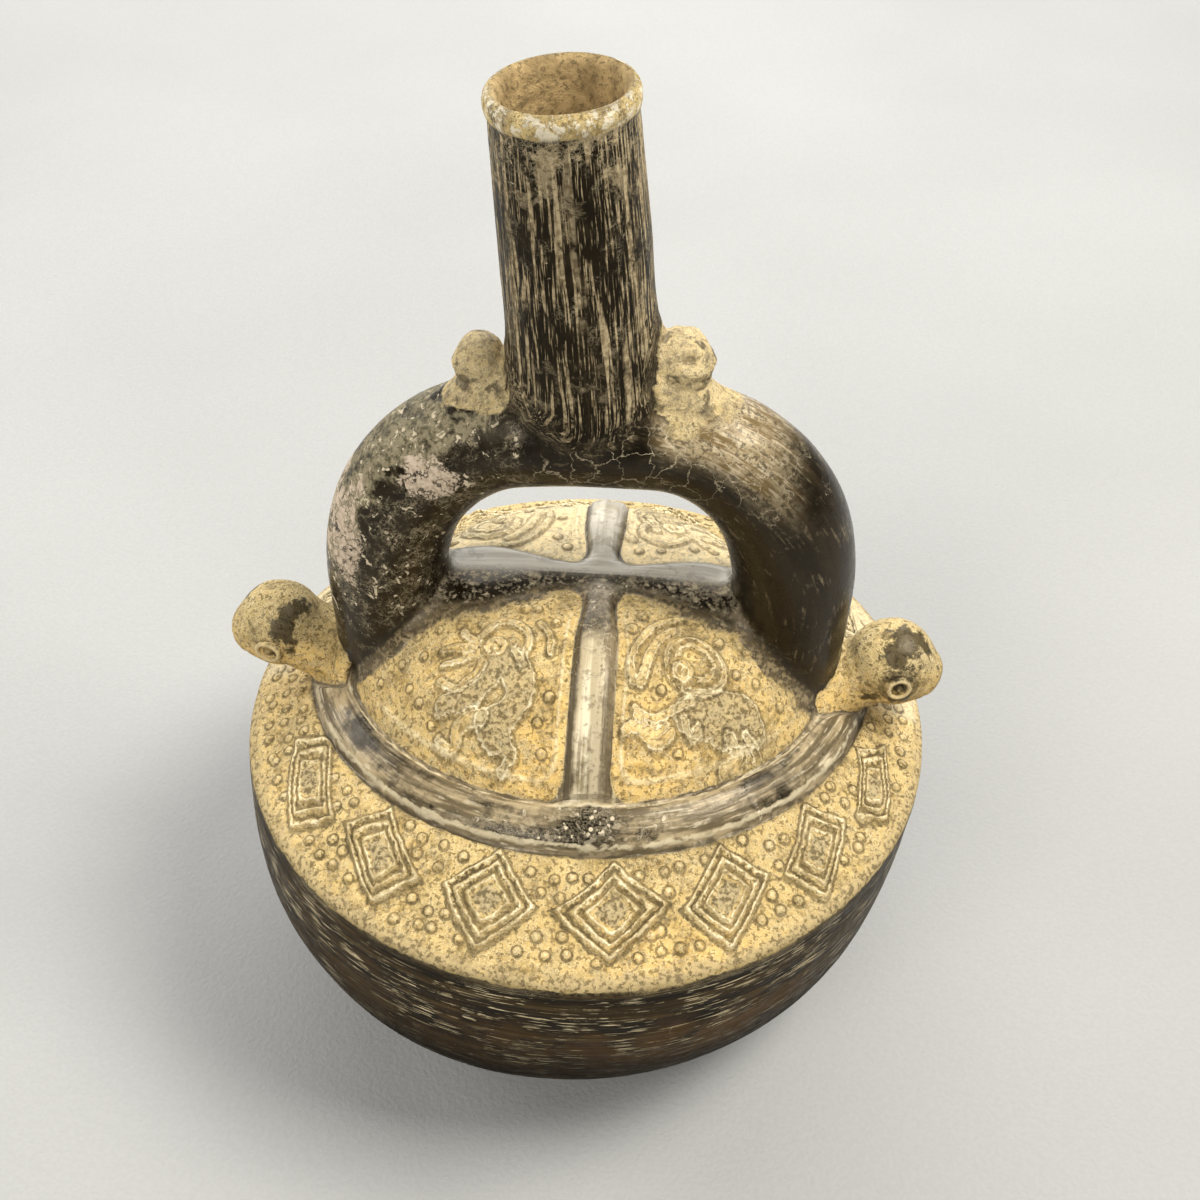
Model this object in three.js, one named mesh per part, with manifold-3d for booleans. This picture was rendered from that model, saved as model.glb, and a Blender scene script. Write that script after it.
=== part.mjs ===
// Stirrup spout vessel: a hollow blackware bottle with a deep round bowl, a sharp shoulder,
// a ring of stepped lozenges round a raised two-gabled top, a hooped (stirrup) handle that is a
// tube, and one tall spout rising from the crown of the hoop.
// Millimetres, +Z up. The origin is the middle of the flat spot on the underside; the front
// faces -Y and the two animal heads look along -X and +X.
import * as THREE from "three";
import { mergeVertices } from "three/addons/utils/BufferGeometryUtils.js";
import Module from "manifold-3d";

const wasm = await Module();
wasm.setup();

// ---- driving dimensions ---------------------------------------------------------------
const R = 76; // shoulder radius
const SHOULDER_Z = 70; // height of the shoulder above the foot
const FOOT_R = 23; // flat spot under the bowl
const FOOT_SHIFT_X = -3.4; // the bowl was finished by hand and sits a little to the left
const BOWL_POWER = 2.95; // fullness of the bowl's profile (2 is an ellipse)
const WALL = 5; // wall of the body
const FRIEZE_SLOPE = 0.5; // rise of the lozenge ring, per unit of radius
const EDGE_ROUND = 1.6; // rounding of the shoulder edge

const LENS_R = 0.83 * R; // outer edge of the curved bands: two arcs of this radius
const LENS_C = 0.14 * R; // whose centres lie this far behind the middle
const BAND_W = 0.1 * R; // width of the curved bands
const BAND_H = 1.9; // how far they stand proud
const CREST_Z = 0.5 * R; // crest of the raised top above the shoulder
const PANEL_Z = 0.2 * R; // top surface where it meets the curved bands
const PANEL_POWER = 2.7; // fullness of the raised top
const RIB_W = 10.5; // front-to-back rib
const RIB_FRONT_X = 0.04 * R; // which reaches the front band a little right of centre
const RIB_H = 1.9;
const CREST_BAND_W = 12.5; // band along the crest, from leg to leg
const CREST_BAND_H = 1.3;

const ARCH_HALF = 0.566 * R; // stirrup: half the distance between the legs' centre lines
const ARCH_BASE_Z = SHOULDER_Z + 0.45 * R;
const ARCH_RISE = 0.59 * R; // centre line, base to crown
const ARCH_POWER = { left: 2.3, right: 2.6 }; // squareness of the hoop's two haunches
const LEG_R = 0.163 * R; // outer radius of the tube low on the legs
const CROWN_R = 0.152 * R; // and at the crown
const HAUNCH_R = 0.011 * R; // a little thicker at the bends
const SEAT_R = 2.9; // extra half width under the spout, where the two are luted together
const TUBE_BORE_R = 8; // inside radius of the tube

const SPOUT_TOP_Z = SHOULDER_Z + 1.946 * R;
const SPOUT_LEAN_X = -0.071 * R; // the spout leans to the left
const SPOUT_TOP_R = 13.1; // outer radius under the lip
const SPOUT_BASE_R = 14.6;
const LIP_R = 13.5;
const MOUTH_R = 10.8; // inside radius at the mouth
const SPOUT_BORE_BASE_R = 10.2;

const HEAD_X = { left: -0.886 * R, right: 0.862 * R }; // animal heads on the shoulder
const HEAD_Z = SHOULDER_Z + 0.262 * R;
const HEAD_R = 10.2;
const NECK_R = 7.6;
const EYE_R = 3.1;

const NUBS = [ // small heads on the crown, beside the spout: x, z and size
  { x: -0.276 * R, z: SHOULDER_Z + 1.222 * R, r: 5.4 },
  { x: 0.22 * R, z: SHOULDER_Z + 1.25 * R, r: 6.3 },
];

const LOZENGE_T = 10.9; // half diagonals of a lozenge, round the ring
const LOZENGE_S = 10.6; // and up the slope
const LOZENGE_H = 0.95; // how far it stands proud
const LOZENGES = 7; // on each side, front and back
const LOZENGE_FIRST_DEG = 9.7; // the middle one is a little right of centre

// ---- helpers -----------------------------------------------------------------------------
// A closed three.js geometry as a manifold solid.
function solid(geometry) {
  const g = geometry.index ? geometry.toNonIndexed() : geometry.clone();
  const bare = new THREE.BufferGeometry().setAttribute("position", g.getAttribute("position"));
  const m = mergeVertices(bare, 1e-3);
  const made = new wasm.Manifold(
    new wasm.Mesh({
      numProp: 3,
      vertProperties: new Float32Array(m.attributes.position.array),
      triVerts: new Uint32Array(m.index.array),
    }),
  );
  return made;
}

// Moves every vertex of a geometry by a function of its place.
function warp(geometry, place) {
  const p = geometry.attributes.position;
  const v = new THREE.Vector3();
  for (let i = 0; i < p.count; i++) {
    v.fromBufferAttribute(p, i);
    const q = place(v.x, v.y, v.z, i);
    p.setXYZ(i, q[0], q[1], q[2]);
  }
  return geometry;
}

// Radius of the two-arc outline at an angle from the front, for an arc radius.
const lensRadius = (theta, arc) => {
  const c = Math.abs(Math.cos(theta)), s = Math.sin(theta);
  return -LENS_C * c + Math.sqrt(arc * arc - LENS_C * LENS_C * s * s);
};
const friezeZ = (r) => FRIEZE_SLOPE * (R - r);
// Height of the plain top surface above the shoulder at (x, y).
function topZ(x, y) {
  const r = Math.hypot(x, y);
  const theta = Math.atan2(x, -y);
  const out = lensRadius(theta, LENS_R), inn = lensRadius(theta, LENS_R - BAND_W);
  if (r >= out) return friezeZ(r);
  if (r <= inn) return PANEL_Z + (CREST_Z - PANEL_Z) * (1 - Math.pow(r / inn, PANEL_POWER));
  const t = (r - inn) / (out - inn);
  return PANEL_Z + (friezeZ(out) - PANEL_Z) * t;
}

// ---- body ---------------------------------------------------------------------------------
// The rings of the body, from the crest out to the shoulder and down to the foot. Each gives a
// radius and a height for the angle from the front.
function bodyRings() {
  const rings = [() => [0, SHOULDER_Z + CREST_Z]];
  for (const k of [0.25, 0.45, 0.62, 0.77, 0.89, 1])
    rings.push((th) => {
      const r = k * lensRadius(th, LENS_R - BAND_W);
      return [r, SHOULDER_Z + topZ(r * Math.sin(th), -r * Math.cos(th))];
    });
  for (const [t, h] of [[0.18, 0.8], [0.5, 1], [0.86, 0.8], [1.0, 0.0]])
    rings.push((th) => {
      const inn = lensRadius(th, LENS_R - BAND_W), out = lensRadius(th, LENS_R);
      const r = inn + t * (out - inn);
      return [r, SHOULDER_Z + PANEL_Z + (friezeZ(out) - PANEL_Z) * t + h * BAND_H];
    });
  for (const t of [0.5, 1])
    rings.push((th) => {
      const out = lensRadius(th, LENS_R);
      const r = out + t * (R - EDGE_ROUND - out);
      return [r, SHOULDER_Z + friezeZ(r)];
    });
  rings.push(() => [R - 0.25 * EDGE_ROUND, SHOULDER_Z - 0.1 * EDGE_ROUND]);
  const rows = 8;
  const reach = Math.pow(Math.acos(Math.pow(FOOT_R / R, BOWL_POWER / 2)) / (Math.PI / 2), 1);
  for (let k = 0; k <= rows; k++) {
    const a = ((0.045 + (reach - 0.045) * (k / rows)) * Math.PI) / 2;
    const r = R * Math.pow(Math.cos(a), 2 / BOWL_POWER);
    const d = Math.pow(Math.sin(a), 2 / BOWL_POWER);
    const dEnd = Math.pow(Math.sin((reach * Math.PI) / 2), 2 / BOWL_POWER);
    rings.push(() => [r, SHOULDER_Z * (1 - d / dEnd), FOOT_SHIFT_X * (d / dEnd)]);
  }
  rings.push(() => [0, 0, FOOT_SHIFT_X]);
  return rings;
}

// A lathe whose rings follow ringAt(angle from the front).
function ringLathe(rings, segments) {
  const profile = rings.map((_, j) => new THREE.Vector2(j === 0 || j === rings.length - 1 ? 0 : 1, j));
  const g = new THREE.LatheGeometry(profile, segments);
  const n = rings.length;
  return warp(g, (x, y, z, i) => {
    const th = ((Math.floor(i / n) % segments) / segments) * 2 * Math.PI;
    const [r, h, dx = 0] = rings[i % n](th);
    return [dx + r * Math.sin(th), -r * Math.cos(th), h];
  });
}

const SEGMENTS = 56;
function oriented(g) {
  const s = solid(g);
  if (s.volume() > 0) return s;
  const idx = g.index.array;
  for (let i = 0; i < idx.length; i += 3) [idx[i + 1], idx[i + 2]] = [idx[i + 2], idx[i + 1]];
  return solid(g);
}
const body = oriented(ringLathe(bodyRings(), SEGMENTS));

// The hollow inside, one wall smaller.
function hollowRings() {
  const rings = [() => [0, SHOULDER_Z + CREST_Z - WALL]];
  for (const k of [0.35, 0.65, 0.88])
    rings.push((th) => {
      const r = k * lensRadius(th, LENS_R - BAND_W);
      return [r, SHOULDER_Z + topZ(r * Math.sin(th), -r * Math.cos(th)) - WALL * 1.12];
    });
  for (const k of [0.3, 0.9])
    rings.push((th) => {
      const out = lensRadius(th, LENS_R);
      const r = out + k * (R - out) - WALL * 0.9;
      return [r, SHOULDER_Z + friezeZ(r) - WALL * 1.45];
    });
  for (let k = 1; k <= 6; k++) {
    const a = ((k / 6.6) * Math.PI) / 2;
    const r = (R - WALL) * Math.pow(Math.cos(a), 2 / BOWL_POWER);
    const d = Math.pow(Math.sin(a), 2 / BOWL_POWER);
    const z = SHOULDER_Z - 2 - (SHOULDER_Z - 2 - WALL) * d;
    rings.push(() => [r, z, FOOT_SHIFT_X * d]);
  }
  rings.push(() => [0, WALL, FOOT_SHIFT_X]);
  return rings;
}
const hollow = oriented(ringLathe(hollowRings(), 28));

// ---- strips of relief laid on the top surface ------------------------------------------
// A raised strip: centre line and half width in plan, a rounded section standing h proud.
function strip(length, width, height, along, across, place, section) {
  const g = new THREE.BoxGeometry(1, 1, 1, across, along, 1);
  return oriented(
    warp(g, (u, v, w) => {
      const [x, y] = place(v * length, u * width);
      const lift = w > 0 ? height * section(2 * u) : -1.6;
      return [x, y, SHOULDER_Z + topZ(x, y) + lift];
    }),
  );
}
const roundish = (u) => 0.06 + 0.94 * Math.pow(Math.max(0, 1 - Math.pow(Math.abs(u), 2.6)), 0.6);
const ribReach = lensRadius(0, LENS_R - 0.45 * BAND_W);
const relief = [
  strip(2 * ribReach, RIB_W, RIB_H, 16, 4, (v, u) => [u + RIB_FRONT_X * Math.max(0, -v / ribReach), v], roundish),
  strip(1.06 * R, CREST_BAND_W, CREST_BAND_H, 10, 4, (v, u) => [v, u], roundish),
];

// Lozenges, wrapped on the sloping ring: a raised frame and a raised core.
function rhomb(t, s) {
  return [new THREE.Vector2(t, 0), new THREE.Vector2(0, s), new THREE.Vector2(-t, 0), new THREE.Vector2(0, -s)];
}
function lozenge(deg) {
  const mid = (deg * Math.PI) / 180;
  const rMid = 0.5 * (lensRadius(mid, LENS_R) + R) - 0.4;
  const cos = 1 / Math.hypot(1, FRIEZE_SLOPE);
  const onRing = (g) =>
    oriented(
      warp(g, (u, v, w) => {
        const r = rMid - v * cos;
        const th = mid + u / rMid;
        return [r * Math.sin(th), -r * Math.cos(th), SHOULDER_Z + friezeZ(r) + w - 1.4];
      }),
    );
  const depth = LOZENGE_H + 1.4;
  const frame = new THREE.Shape(rhomb(LOZENGE_T, LOZENGE_S));
  frame.holes.push(new THREE.Path(rhomb(0.72 * LOZENGE_T, 0.72 * LOZENGE_S).reverse()));
  const core = new THREE.Shape(rhomb(0.46 * LOZENGE_T, 0.46 * LOZENGE_S));
  const cut = { depth, bevelEnabled: false };
  return [onRing(new THREE.ExtrudeGeometry(frame, cut)), onRing(new THREE.ExtrudeGeometry(core, cut))];
}
for (const side of [0, 180])
  for (let k = -(LOZENGES - 1) / 2; k <= (LOZENGES - 1) / 2; k++)
    relief.push(...lozenge(side + LOZENGE_FIRST_DEG + 22 * k - 0.5 * k * k));

// ---- stirrup -----------------------------------------------------------------------------
class Hoop extends THREE.Curve {
  constructor(dip) {
    super();
    this.dip = dip;
  }
  getPoint(t, target = new THREE.Vector3()) {
    const total = Math.PI + 2 * this.dip;
    const a = -this.dip + total * t;
    const c = Math.cos(a), s = Math.sin(a), e = 2 / (c < 0 ? ARCH_POWER.left : ARCH_POWER.right);
    const x = ARCH_HALF * Math.sign(c) * Math.pow(Math.abs(c), e);
    const z = s >= 0 ? ARCH_RISE * Math.pow(s, e) : 0.95 * ARCH_RISE * s;
    return target.set(s >= 0 ? x : Math.sign(c) * (ARCH_HALF - 10 * (1 - Math.abs(c))), 0, ARCH_BASE_Z + z);
  }
}
function tube(dip, steps, sides, radiusAt, wideAt = () => 0) {
  const round = new THREE.Shape();
  for (let i = 0; i < sides; i++) {
    const a = (2 * Math.PI * i) / sides;
    if (i) round.lineTo(Math.cos(a), Math.sin(a));
    else round.moveTo(1, 0);
  }
  round.closePath();
  const hoop = new Hoop(dip);
  const g = new THREE.ExtrudeGeometry(round, { steps, extrudePath: hoop, bevelEnabled: false });
  // Scale each unit section about its own point of the centre line.
  const centres = hoop.getSpacedPoints(steps);
  return oriented(
    warp(g, (x, y, z) => {
      const p = new THREE.Vector3(x, y, z);
      let best = centres[0];
      for (const c of centres) if (c.distanceToSquared(p) < best.distanceToSquared(p)) best = c;
      const k = radiusAt(best);
      return [best.x + (x - best.x) * k, y * (k + wideAt(best)), best.z + (z - best.z) * k];
    }),
  );
}
function tubeRadius(p) {
  const up = Math.min(1, Math.max(0, (p.z - ARCH_BASE_Z) / ARCH_RISE));
  return LEG_R + (CROWN_R - LEG_R) * up + HAUNCH_R * 4 * up * (1 - up);
}
const seatWidth = (p) => SEAT_R * Math.exp(-Math.pow(p.x / 16, 4));
const stirrup = tube(0.42, 30, 16, tubeRadius, seatWidth);
const stirrupBore = tube(0.62, 22, 12, () => TUBE_BORE_R);

// ---- spout ---------------------------------------------------------------------------------
function leaning(profile, segments) {
  const g = new THREE.LatheGeometry(profile.map(([r, z]) => new THREE.Vector2(r, z)), segments);
  g.rotateX(Math.PI / 2);
  const base = ARCH_BASE_Z + ARCH_RISE;
  return oriented(
    warp(g, (x, y, z) => [x + SPOUT_LEAN_X * Math.max(0, (z - base) / (SPOUT_TOP_Z - base)), y, z]),
  );
}
const crown = ARCH_BASE_Z + ARCH_RISE;
const top = SPOUT_TOP_Z;
const spout = leaning(
  [
    [0, crown - 1], [SPOUT_BASE_R - 1.2, crown - 1], [SPOUT_BASE_R + 0.5, crown + 9], [SPOUT_BASE_R, crown + 16],
    [SPOUT_BASE_R - 0.6, crown + 38], [SPOUT_TOP_R, top - 8], [SPOUT_TOP_R, top - 4.4], [LIP_R, top - 2.6],
    [LIP_R - 0.3, top - 0.8], [LIP_R - 1.4, top], [0, top],
  ],
  30,
);
const spoutBore = leaning(
  [[0, crown - 3], [SPOUT_BORE_BASE_R - 3.4, crown - 3], [SPOUT_BORE_BASE_R, crown + 14], [MOUTH_R - 0.3, top - 6], [MOUTH_R, top - 1.2], [MOUTH_R + 0.5, top + 2], [0, top + 2]],
  24,
);

// ---- heads and small heads ------------------------------------------------------------------
function ball(x, y, z, rx, ry, rz, tilt = 0, w = 14, h = 9) {
  const g = new THREE.SphereGeometry(1, w, h);
  g.rotateX(Math.PI / 2);
  g.scale(rx, ry, rz);
  g.rotateY(tilt);
  g.translate(x, y, z);
  return oriented(g);
}
function ring(x, y, z, r, thick, side) {
  const g = new THREE.TorusGeometry(r, thick, 4, 12);
  g.rotateX(Math.PI / 2);
  g.translate(x, y + side * 0, z);
  return oriented(g);
}
const figures = [];
for (const s of [-1, 1]) {
  const x = s < 0 ? HEAD_X.left : HEAD_X.right;
  // skull, longer towards the muzzle
  figures.push(ball(x, 0, HEAD_Z, HEAD_R * 1.06, HEAD_R * 0.94, HEAD_R, s * 0.35));
  figures.push(ball(x + s * 3.4, 0, HEAD_Z - 2.6, HEAD_R * 0.72, HEAD_R * 0.74, HEAD_R * 0.72, 0, 12, 8));
  // neck, down to the shoulder beside the leg
  const neck = new THREE.CylinderGeometry(NECK_R, NECK_R + 2.2, 22, 12, 1);
  neck.rotateX(Math.PI / 2);
  neck.rotateY(s * 0.62);
  neck.translate(x - s * 8.2, 0, HEAD_Z - 9);
  figures.push(oriented(neck));
  for (const side of [-1, 1]) {
    figures.push(ring(x + s * 1.6, side * (HEAD_R * 0.9), HEAD_Z - 0.6, EYE_R, 0.75, side));
    figures.push(ball(x + s * 1.6, side * (HEAD_R * 0.9), HEAD_Z - 0.6, 1.3, 0.8, 1.3, 0, 6, 4));
  }
}
// small heads sitting on the crown against the spout, each on a pair of shoulders
for (const { x, z, r } of NUBS) {
  const s = Math.sign(x);
  figures.push(ball(x, -0.6, z, r, r * 0.98, r, 0, 12, 8));
  figures.push(ball(x + s * 1.2, -0.6, z - 0.85 * r, r * 1.25, r * 1.2, r * 0.8, s * 0.35, 12, 7));
}

// ---- one fired clay body: everything outside joined, everything inside taken away -----------
const outside = wasm.Manifold.union([body, stirrup, spout, ...relief, ...figures]);
const inside = wasm.Manifold.union([hollow, stirrupBore, spoutBore]);
let clay = outside.subtract(inside);

function geometryOf(made) {
  const m = made.getMesh();
  const verts = new Float32Array(m.numVert * 3);
  for (let i = 0; i < m.numVert; i++)
    verts.set(m.vertProperties.subarray(i * m.numProp, i * m.numProp + 3), i * 3);
  const g = new THREE.BufferGeometry();
  g.setAttribute("position", new THREE.BufferAttribute(verts, 3));
  g.setIndex(new THREE.BufferAttribute(m.triVerts, 1));
  g.computeVertexNormals();
  return g;
}

const vessel = new THREE.Mesh(
  geometryOf(clay),
  new THREE.MeshStandardMaterial({ color: 0x2b2722, roughness: 0.45, metalness: 0 }),
);
vessel.name = "vessel";
vessel.position.x = -FOOT_SHIFT_X; // the origin is the middle of the foot

const group = new THREE.Group();
group.name = "stirrup_spout_vessel";
group.add(vessel);
export default group;
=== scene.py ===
import math
import bpy
import numpy as np
from mathutils import Matrix, Vector


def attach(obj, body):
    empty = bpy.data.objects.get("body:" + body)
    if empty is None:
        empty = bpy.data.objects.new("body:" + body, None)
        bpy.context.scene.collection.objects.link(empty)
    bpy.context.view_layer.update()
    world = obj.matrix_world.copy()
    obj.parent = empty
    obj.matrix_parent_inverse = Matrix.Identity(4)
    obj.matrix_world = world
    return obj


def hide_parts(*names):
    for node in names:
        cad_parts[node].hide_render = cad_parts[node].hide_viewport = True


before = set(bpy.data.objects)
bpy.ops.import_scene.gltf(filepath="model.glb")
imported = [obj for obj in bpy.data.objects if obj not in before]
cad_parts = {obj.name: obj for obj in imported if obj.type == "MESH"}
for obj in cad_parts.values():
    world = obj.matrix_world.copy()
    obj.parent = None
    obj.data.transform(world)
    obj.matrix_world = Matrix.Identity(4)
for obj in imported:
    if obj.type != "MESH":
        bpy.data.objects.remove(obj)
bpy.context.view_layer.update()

# ------------------------------------------------------------------------------------------
# Sizes, in millimetres, about the middle of the shoulder circle. place() turns them into the
# shared frame: metres, with the origin at the middle of the foot.
# ------------------------------------------------------------------------------------------
R = 76.0
ZS = 70.0
SHIFT = Vector((3.4, 0.0, ZS))
FOOT_R, FOOT_DX, BOWL_P = 23.0, -3.4, 2.95
LENS_OUT, LENS_IN, LENS_C = 0.83 * R, 0.73 * R, 0.14 * R
CREST = 0.5 * R
ARCH_A, ARCH_ZB, ARCH_H = 0.566 * R, 0.45 * R, 0.592 * R
ARCH_PL, ARCH_PR = 2.3, 2.6
LEG_R, CROWN_R, HAUNCH_R, SEAT_R = 0.163 * R, 0.152 * R, 0.011 * R, 2.9
CROWN = ARCH_ZB + ARCH_H
SPOUT_TOP = 1.946 * R
SPOUT_LEN = SPOUT_TOP - CROWN
LEAN = math.atan2(0.071 * R, SPOUT_LEN)


# ------------------------------------------------------------------------------------------
# Noise: seeded value noise on a repeating lattice
# ------------------------------------------------------------------------------------------
_lat = {}


def vnoise(x, y, z, size, seed):
    """Smooth noise in -1..1 with features about size mm across."""
    if seed not in _lat:
        _lat[seed] = np.random.default_rng(seed).random((24, 24, 24)) * 2 - 1
    L = _lat[seed]
    out = 0.0
    q = [np.asarray(c, float) / size + 101.37 for c in (x, y, z)]
    i = [np.floor(c).astype(int) for c in q]
    f = [c - k for c, k in zip(q, i)]
    f = [c * c * (3 - 2 * c) for c in f]
    for dx in (0, 1):
        for dy in (0, 1):
            for dz in (0, 1):
                w = (f[0] if dx else 1 - f[0]) * (f[1] if dy else 1 - f[1]) * (f[2] if dz else 1 - f[2])
                out = out + w * L[(i[0] + dx) % 24, (i[1] + dy) % 24, (i[2] + dz) % 24]
    return out


def smooth(a, b, x):
    t = np.clip((x - a) / (b - a), 0, 1)
    return t * t * (3 - 2 * t)


def smin(a, b, k):
    h = np.clip(0.5 + 0.5 * (b - a) / k, 0, 1)
    return b * (1 - h) + a * h - k * h * (1 - h)


def gauss(d, w):
    return np.exp(-((d / w) ** 2))


# ------------------------------------------------------------------------------------------
# The top of the body as a height over the shoulder plane
# ------------------------------------------------------------------------------------------
def lens_r(th, arc):
    c, s = np.abs(np.cos(th)), np.sin(th)
    return -LENS_C * c + np.sqrt(arc * arc - LENS_C * LENS_C * s * s)


# azimuth from the front, radius, half diagonals, lean of the lozenge
LOZ = [(-59.6, 0.858, 12.0, 6.9, 0.95), (-36.3, 0.842, 10.5, 7.6, 0.62), (-13.2, 0.828, 9.4, 8.8, 0.06),
       (9.4, 0.829, 10.7, 8.1, -0.15), (30.6, 0.848, 9.6, 8.5, -0.38), (50.6, 0.866, 9.7, 7.2, -0.68),
       (70.6, 0.884, 10.2, 5.4, -1.1)]
LOZ_ALL = [(a, r, t, s, k) for a, r, t, s, k in LOZ] + [(a + 180.0, r, t, s, k) for a, r, t, s, k in LOZ]


def lozenge_frame(x, y, loz):
    az, rr, at, ar, k = loz
    th = np.arctan2(x, -y)
    d = (th - math.radians(az) + math.pi) % (2 * math.pi) - math.pi
    u = d * rr * R
    v = np.hypot(x, y) - rr * R
    return u - k * v, v, at, ar


def polyline_distance(x, y, pts):
    best = np.full(x.shape, 1e9)
    where = np.zeros(x.shape)
    n = len(pts) - 1
    for i in range(n):
        ax, ay = pts[i]
        bx, by = pts[i + 1]
        dx, dy = bx - ax, by - ay
        t = np.clip(((x - ax) * dx + (y - ay) * dy) / max(dx * dx + dy * dy, 1e-9), 0, 1)
        d = np.hypot(x - ax - t * dx, y - ay - t * dy)
        near = d < best
        best = np.where(near, d, best)
        where = np.where(near, (i + t) / n, where)
    return best, where


def curve(pts, per=5):
    """A smooth line through the given points (Catmull-Rom)."""
    p = [np.array(q, float) for q in pts]
    p = [2 * p[0] - p[1]] + p + [2 * p[-1] - p[-2]]
    out = []
    for i in range(1, len(p) - 2):
        for k in range(per):
            t = k / per
            out.append(0.5 * (2 * p[i] + (p[i + 1] - p[i - 1]) * t + (2 * p[i - 1] - 5 * p[i] + 4 * p[i + 1] - p[i + 2]) * t * t
                              + (3 * p[i] - p[i - 1] - 3 * p[i + 1] + p[i + 2]) * t ** 3))
    out.append(p[-2])
    return out


# A stroke of relief: line, half width at start and end, height, 1 if its surface is stippled
CREATURE_A = [
    ([(-13.6, -23.6), (-12.2, -26.3), (-11.3, -28.7), (-11.6, -31.0), (-13.8, -32.9), (-16.8, -33.8)], 3.3, 2.3, 0.95, 1),
    ([(-16.6, -24.6), (-18.0, -27.0), (-20.2, -28.6), (-23.6, -29.3), (-27.4, -29.2)], 2.1, 1.5, 0.8, 1),
    ([(-18.4, -33.2), (-17.2, -35.2), (-15.2, -37.2)], 1.7, 1.3, 0.75, 1),
    ([(-14.6, -35.2), (-13.0, -37.6), (-12.2, -39.0), (-13.9, -40.4)], 1.4, 0.8, 0.7, 1),
    ([(-18.6, -32.9), (-21.8, -32.6), (-23.9, -33.3), (-23.8, -35.0), (-25.4, -35.8), (-27.9, -33.6)], 1.3, 0.6, 0.65, 0),
    ([(-18.6, -21.6), (-22.0, -19.9), (-25.0, -19.5), (-28.3, -19.4)], 1.1, 0.6, 0.75, 0),
    ([(-19.8, -21.6), (-22.4, -21.6), (-24.4, -22.2), (-27.9, -22.2)], 0.55, 0.4, 0.6, 0),
    ([(-19.2, -21.0), (-19.6, -23.4), (-20.6, -25.4), (-22.6, -26.4), (-25.0, -27.2), (-28.2, -25.0)], 0.8, 0.6, 0.7, 0),
    ([(-24.3, -15.9), (-22.9, -17.5), (-20.6, -19.0)], 0.6, 0.5, 0.6, 0),
    ([(-20.3, -17.4), (-18.5, -15.3), (-16.6, -14.1), (-14.0, -14.4), (-10.9, -16.6), (-10.4, -19.1), (-11.0, -21.2)], 0.75, 0.6, 0.7, 0),
    ([(-14.9, -18.8), (-13.3, -19.2), (-13.6, -20.8), (-12.4, -22.4), (-11.4, -24.6)], 0.65, 0.6, 0.65, 0),
    ([(-8.6, -14.2), (-6.2, -17.5), (-6.0, -21.5)], 0.55, 0.5, 0.45, 0),
]
EYE_A = (-17.2, -20.4, 1.75)
CREATURE_B = [
    ([(23.0, -29.6), (26.4, -28.2), (30.6, -26.4), (34.6, -25.2)], 3.1, 3.7, 0.85, 1),
    ([(29.4, -30.0), (32.6, -28.0), (36.4, -25.0)], 1.8, 2.4, 0.85, 1),
    ([(11.3, -26.2), (10.6, -22.2), (11.5, -18.2), (13.4, -14.2), (16.2, -11.4), (20.4, -9.8)], 0.6, 0.6, 0.6, 0),
    ([(12.6, -26.0), (13.7, -22.9), (14.6, -19.0), (16.3, -15.4), (18.8, -13.0)], 0.9, 0.7, 0.65, 0),
    ([(11.9, -30.9), (14.1, -31.9), (16.2, -31.9), (18.5, -30.4), (20.8, -28.8), (23.2, -27.3)], 0.6, 0.6, 0.65, 0),
    ([(10.3, -35.0), (11.8, -33.7), (14.0, -34.4), (16.5, -35.6), (18.5, -34.3), (19.6, -33.0)], 0.8, 0.7, 0.75, 0),
    ([(12.4, -32.0), (14.2, -33.2), (16.7, -34.0), (18.4, -32.2)], 0.5, 0.5, 0.5, 0),
    ([(22.0, -30.6), (22.8, -32.2), (24.2, -32.4), (25.0, -30.9)], 0.7, 0.6, 0.65, 0),
    ([(31.6, -29.8), (33.4, -30.6), (33.0, -32.2), (30.8, -34.4)], 1.1, 1.1, 0.75, 0),
    ([(35.0, -27.6), (37.3, -28.4), (38.4, -29.4), (36.9, -31.0), (35.9, -30.0)], 0.8, 0.7, 0.75, 0),
]
HEAD_B = (23.4, -20.0, 6.2)
EYE_B = (21.0, -22.4, 1.7)
HOLE_B = (23.6, -18.2, 0.9)


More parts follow.
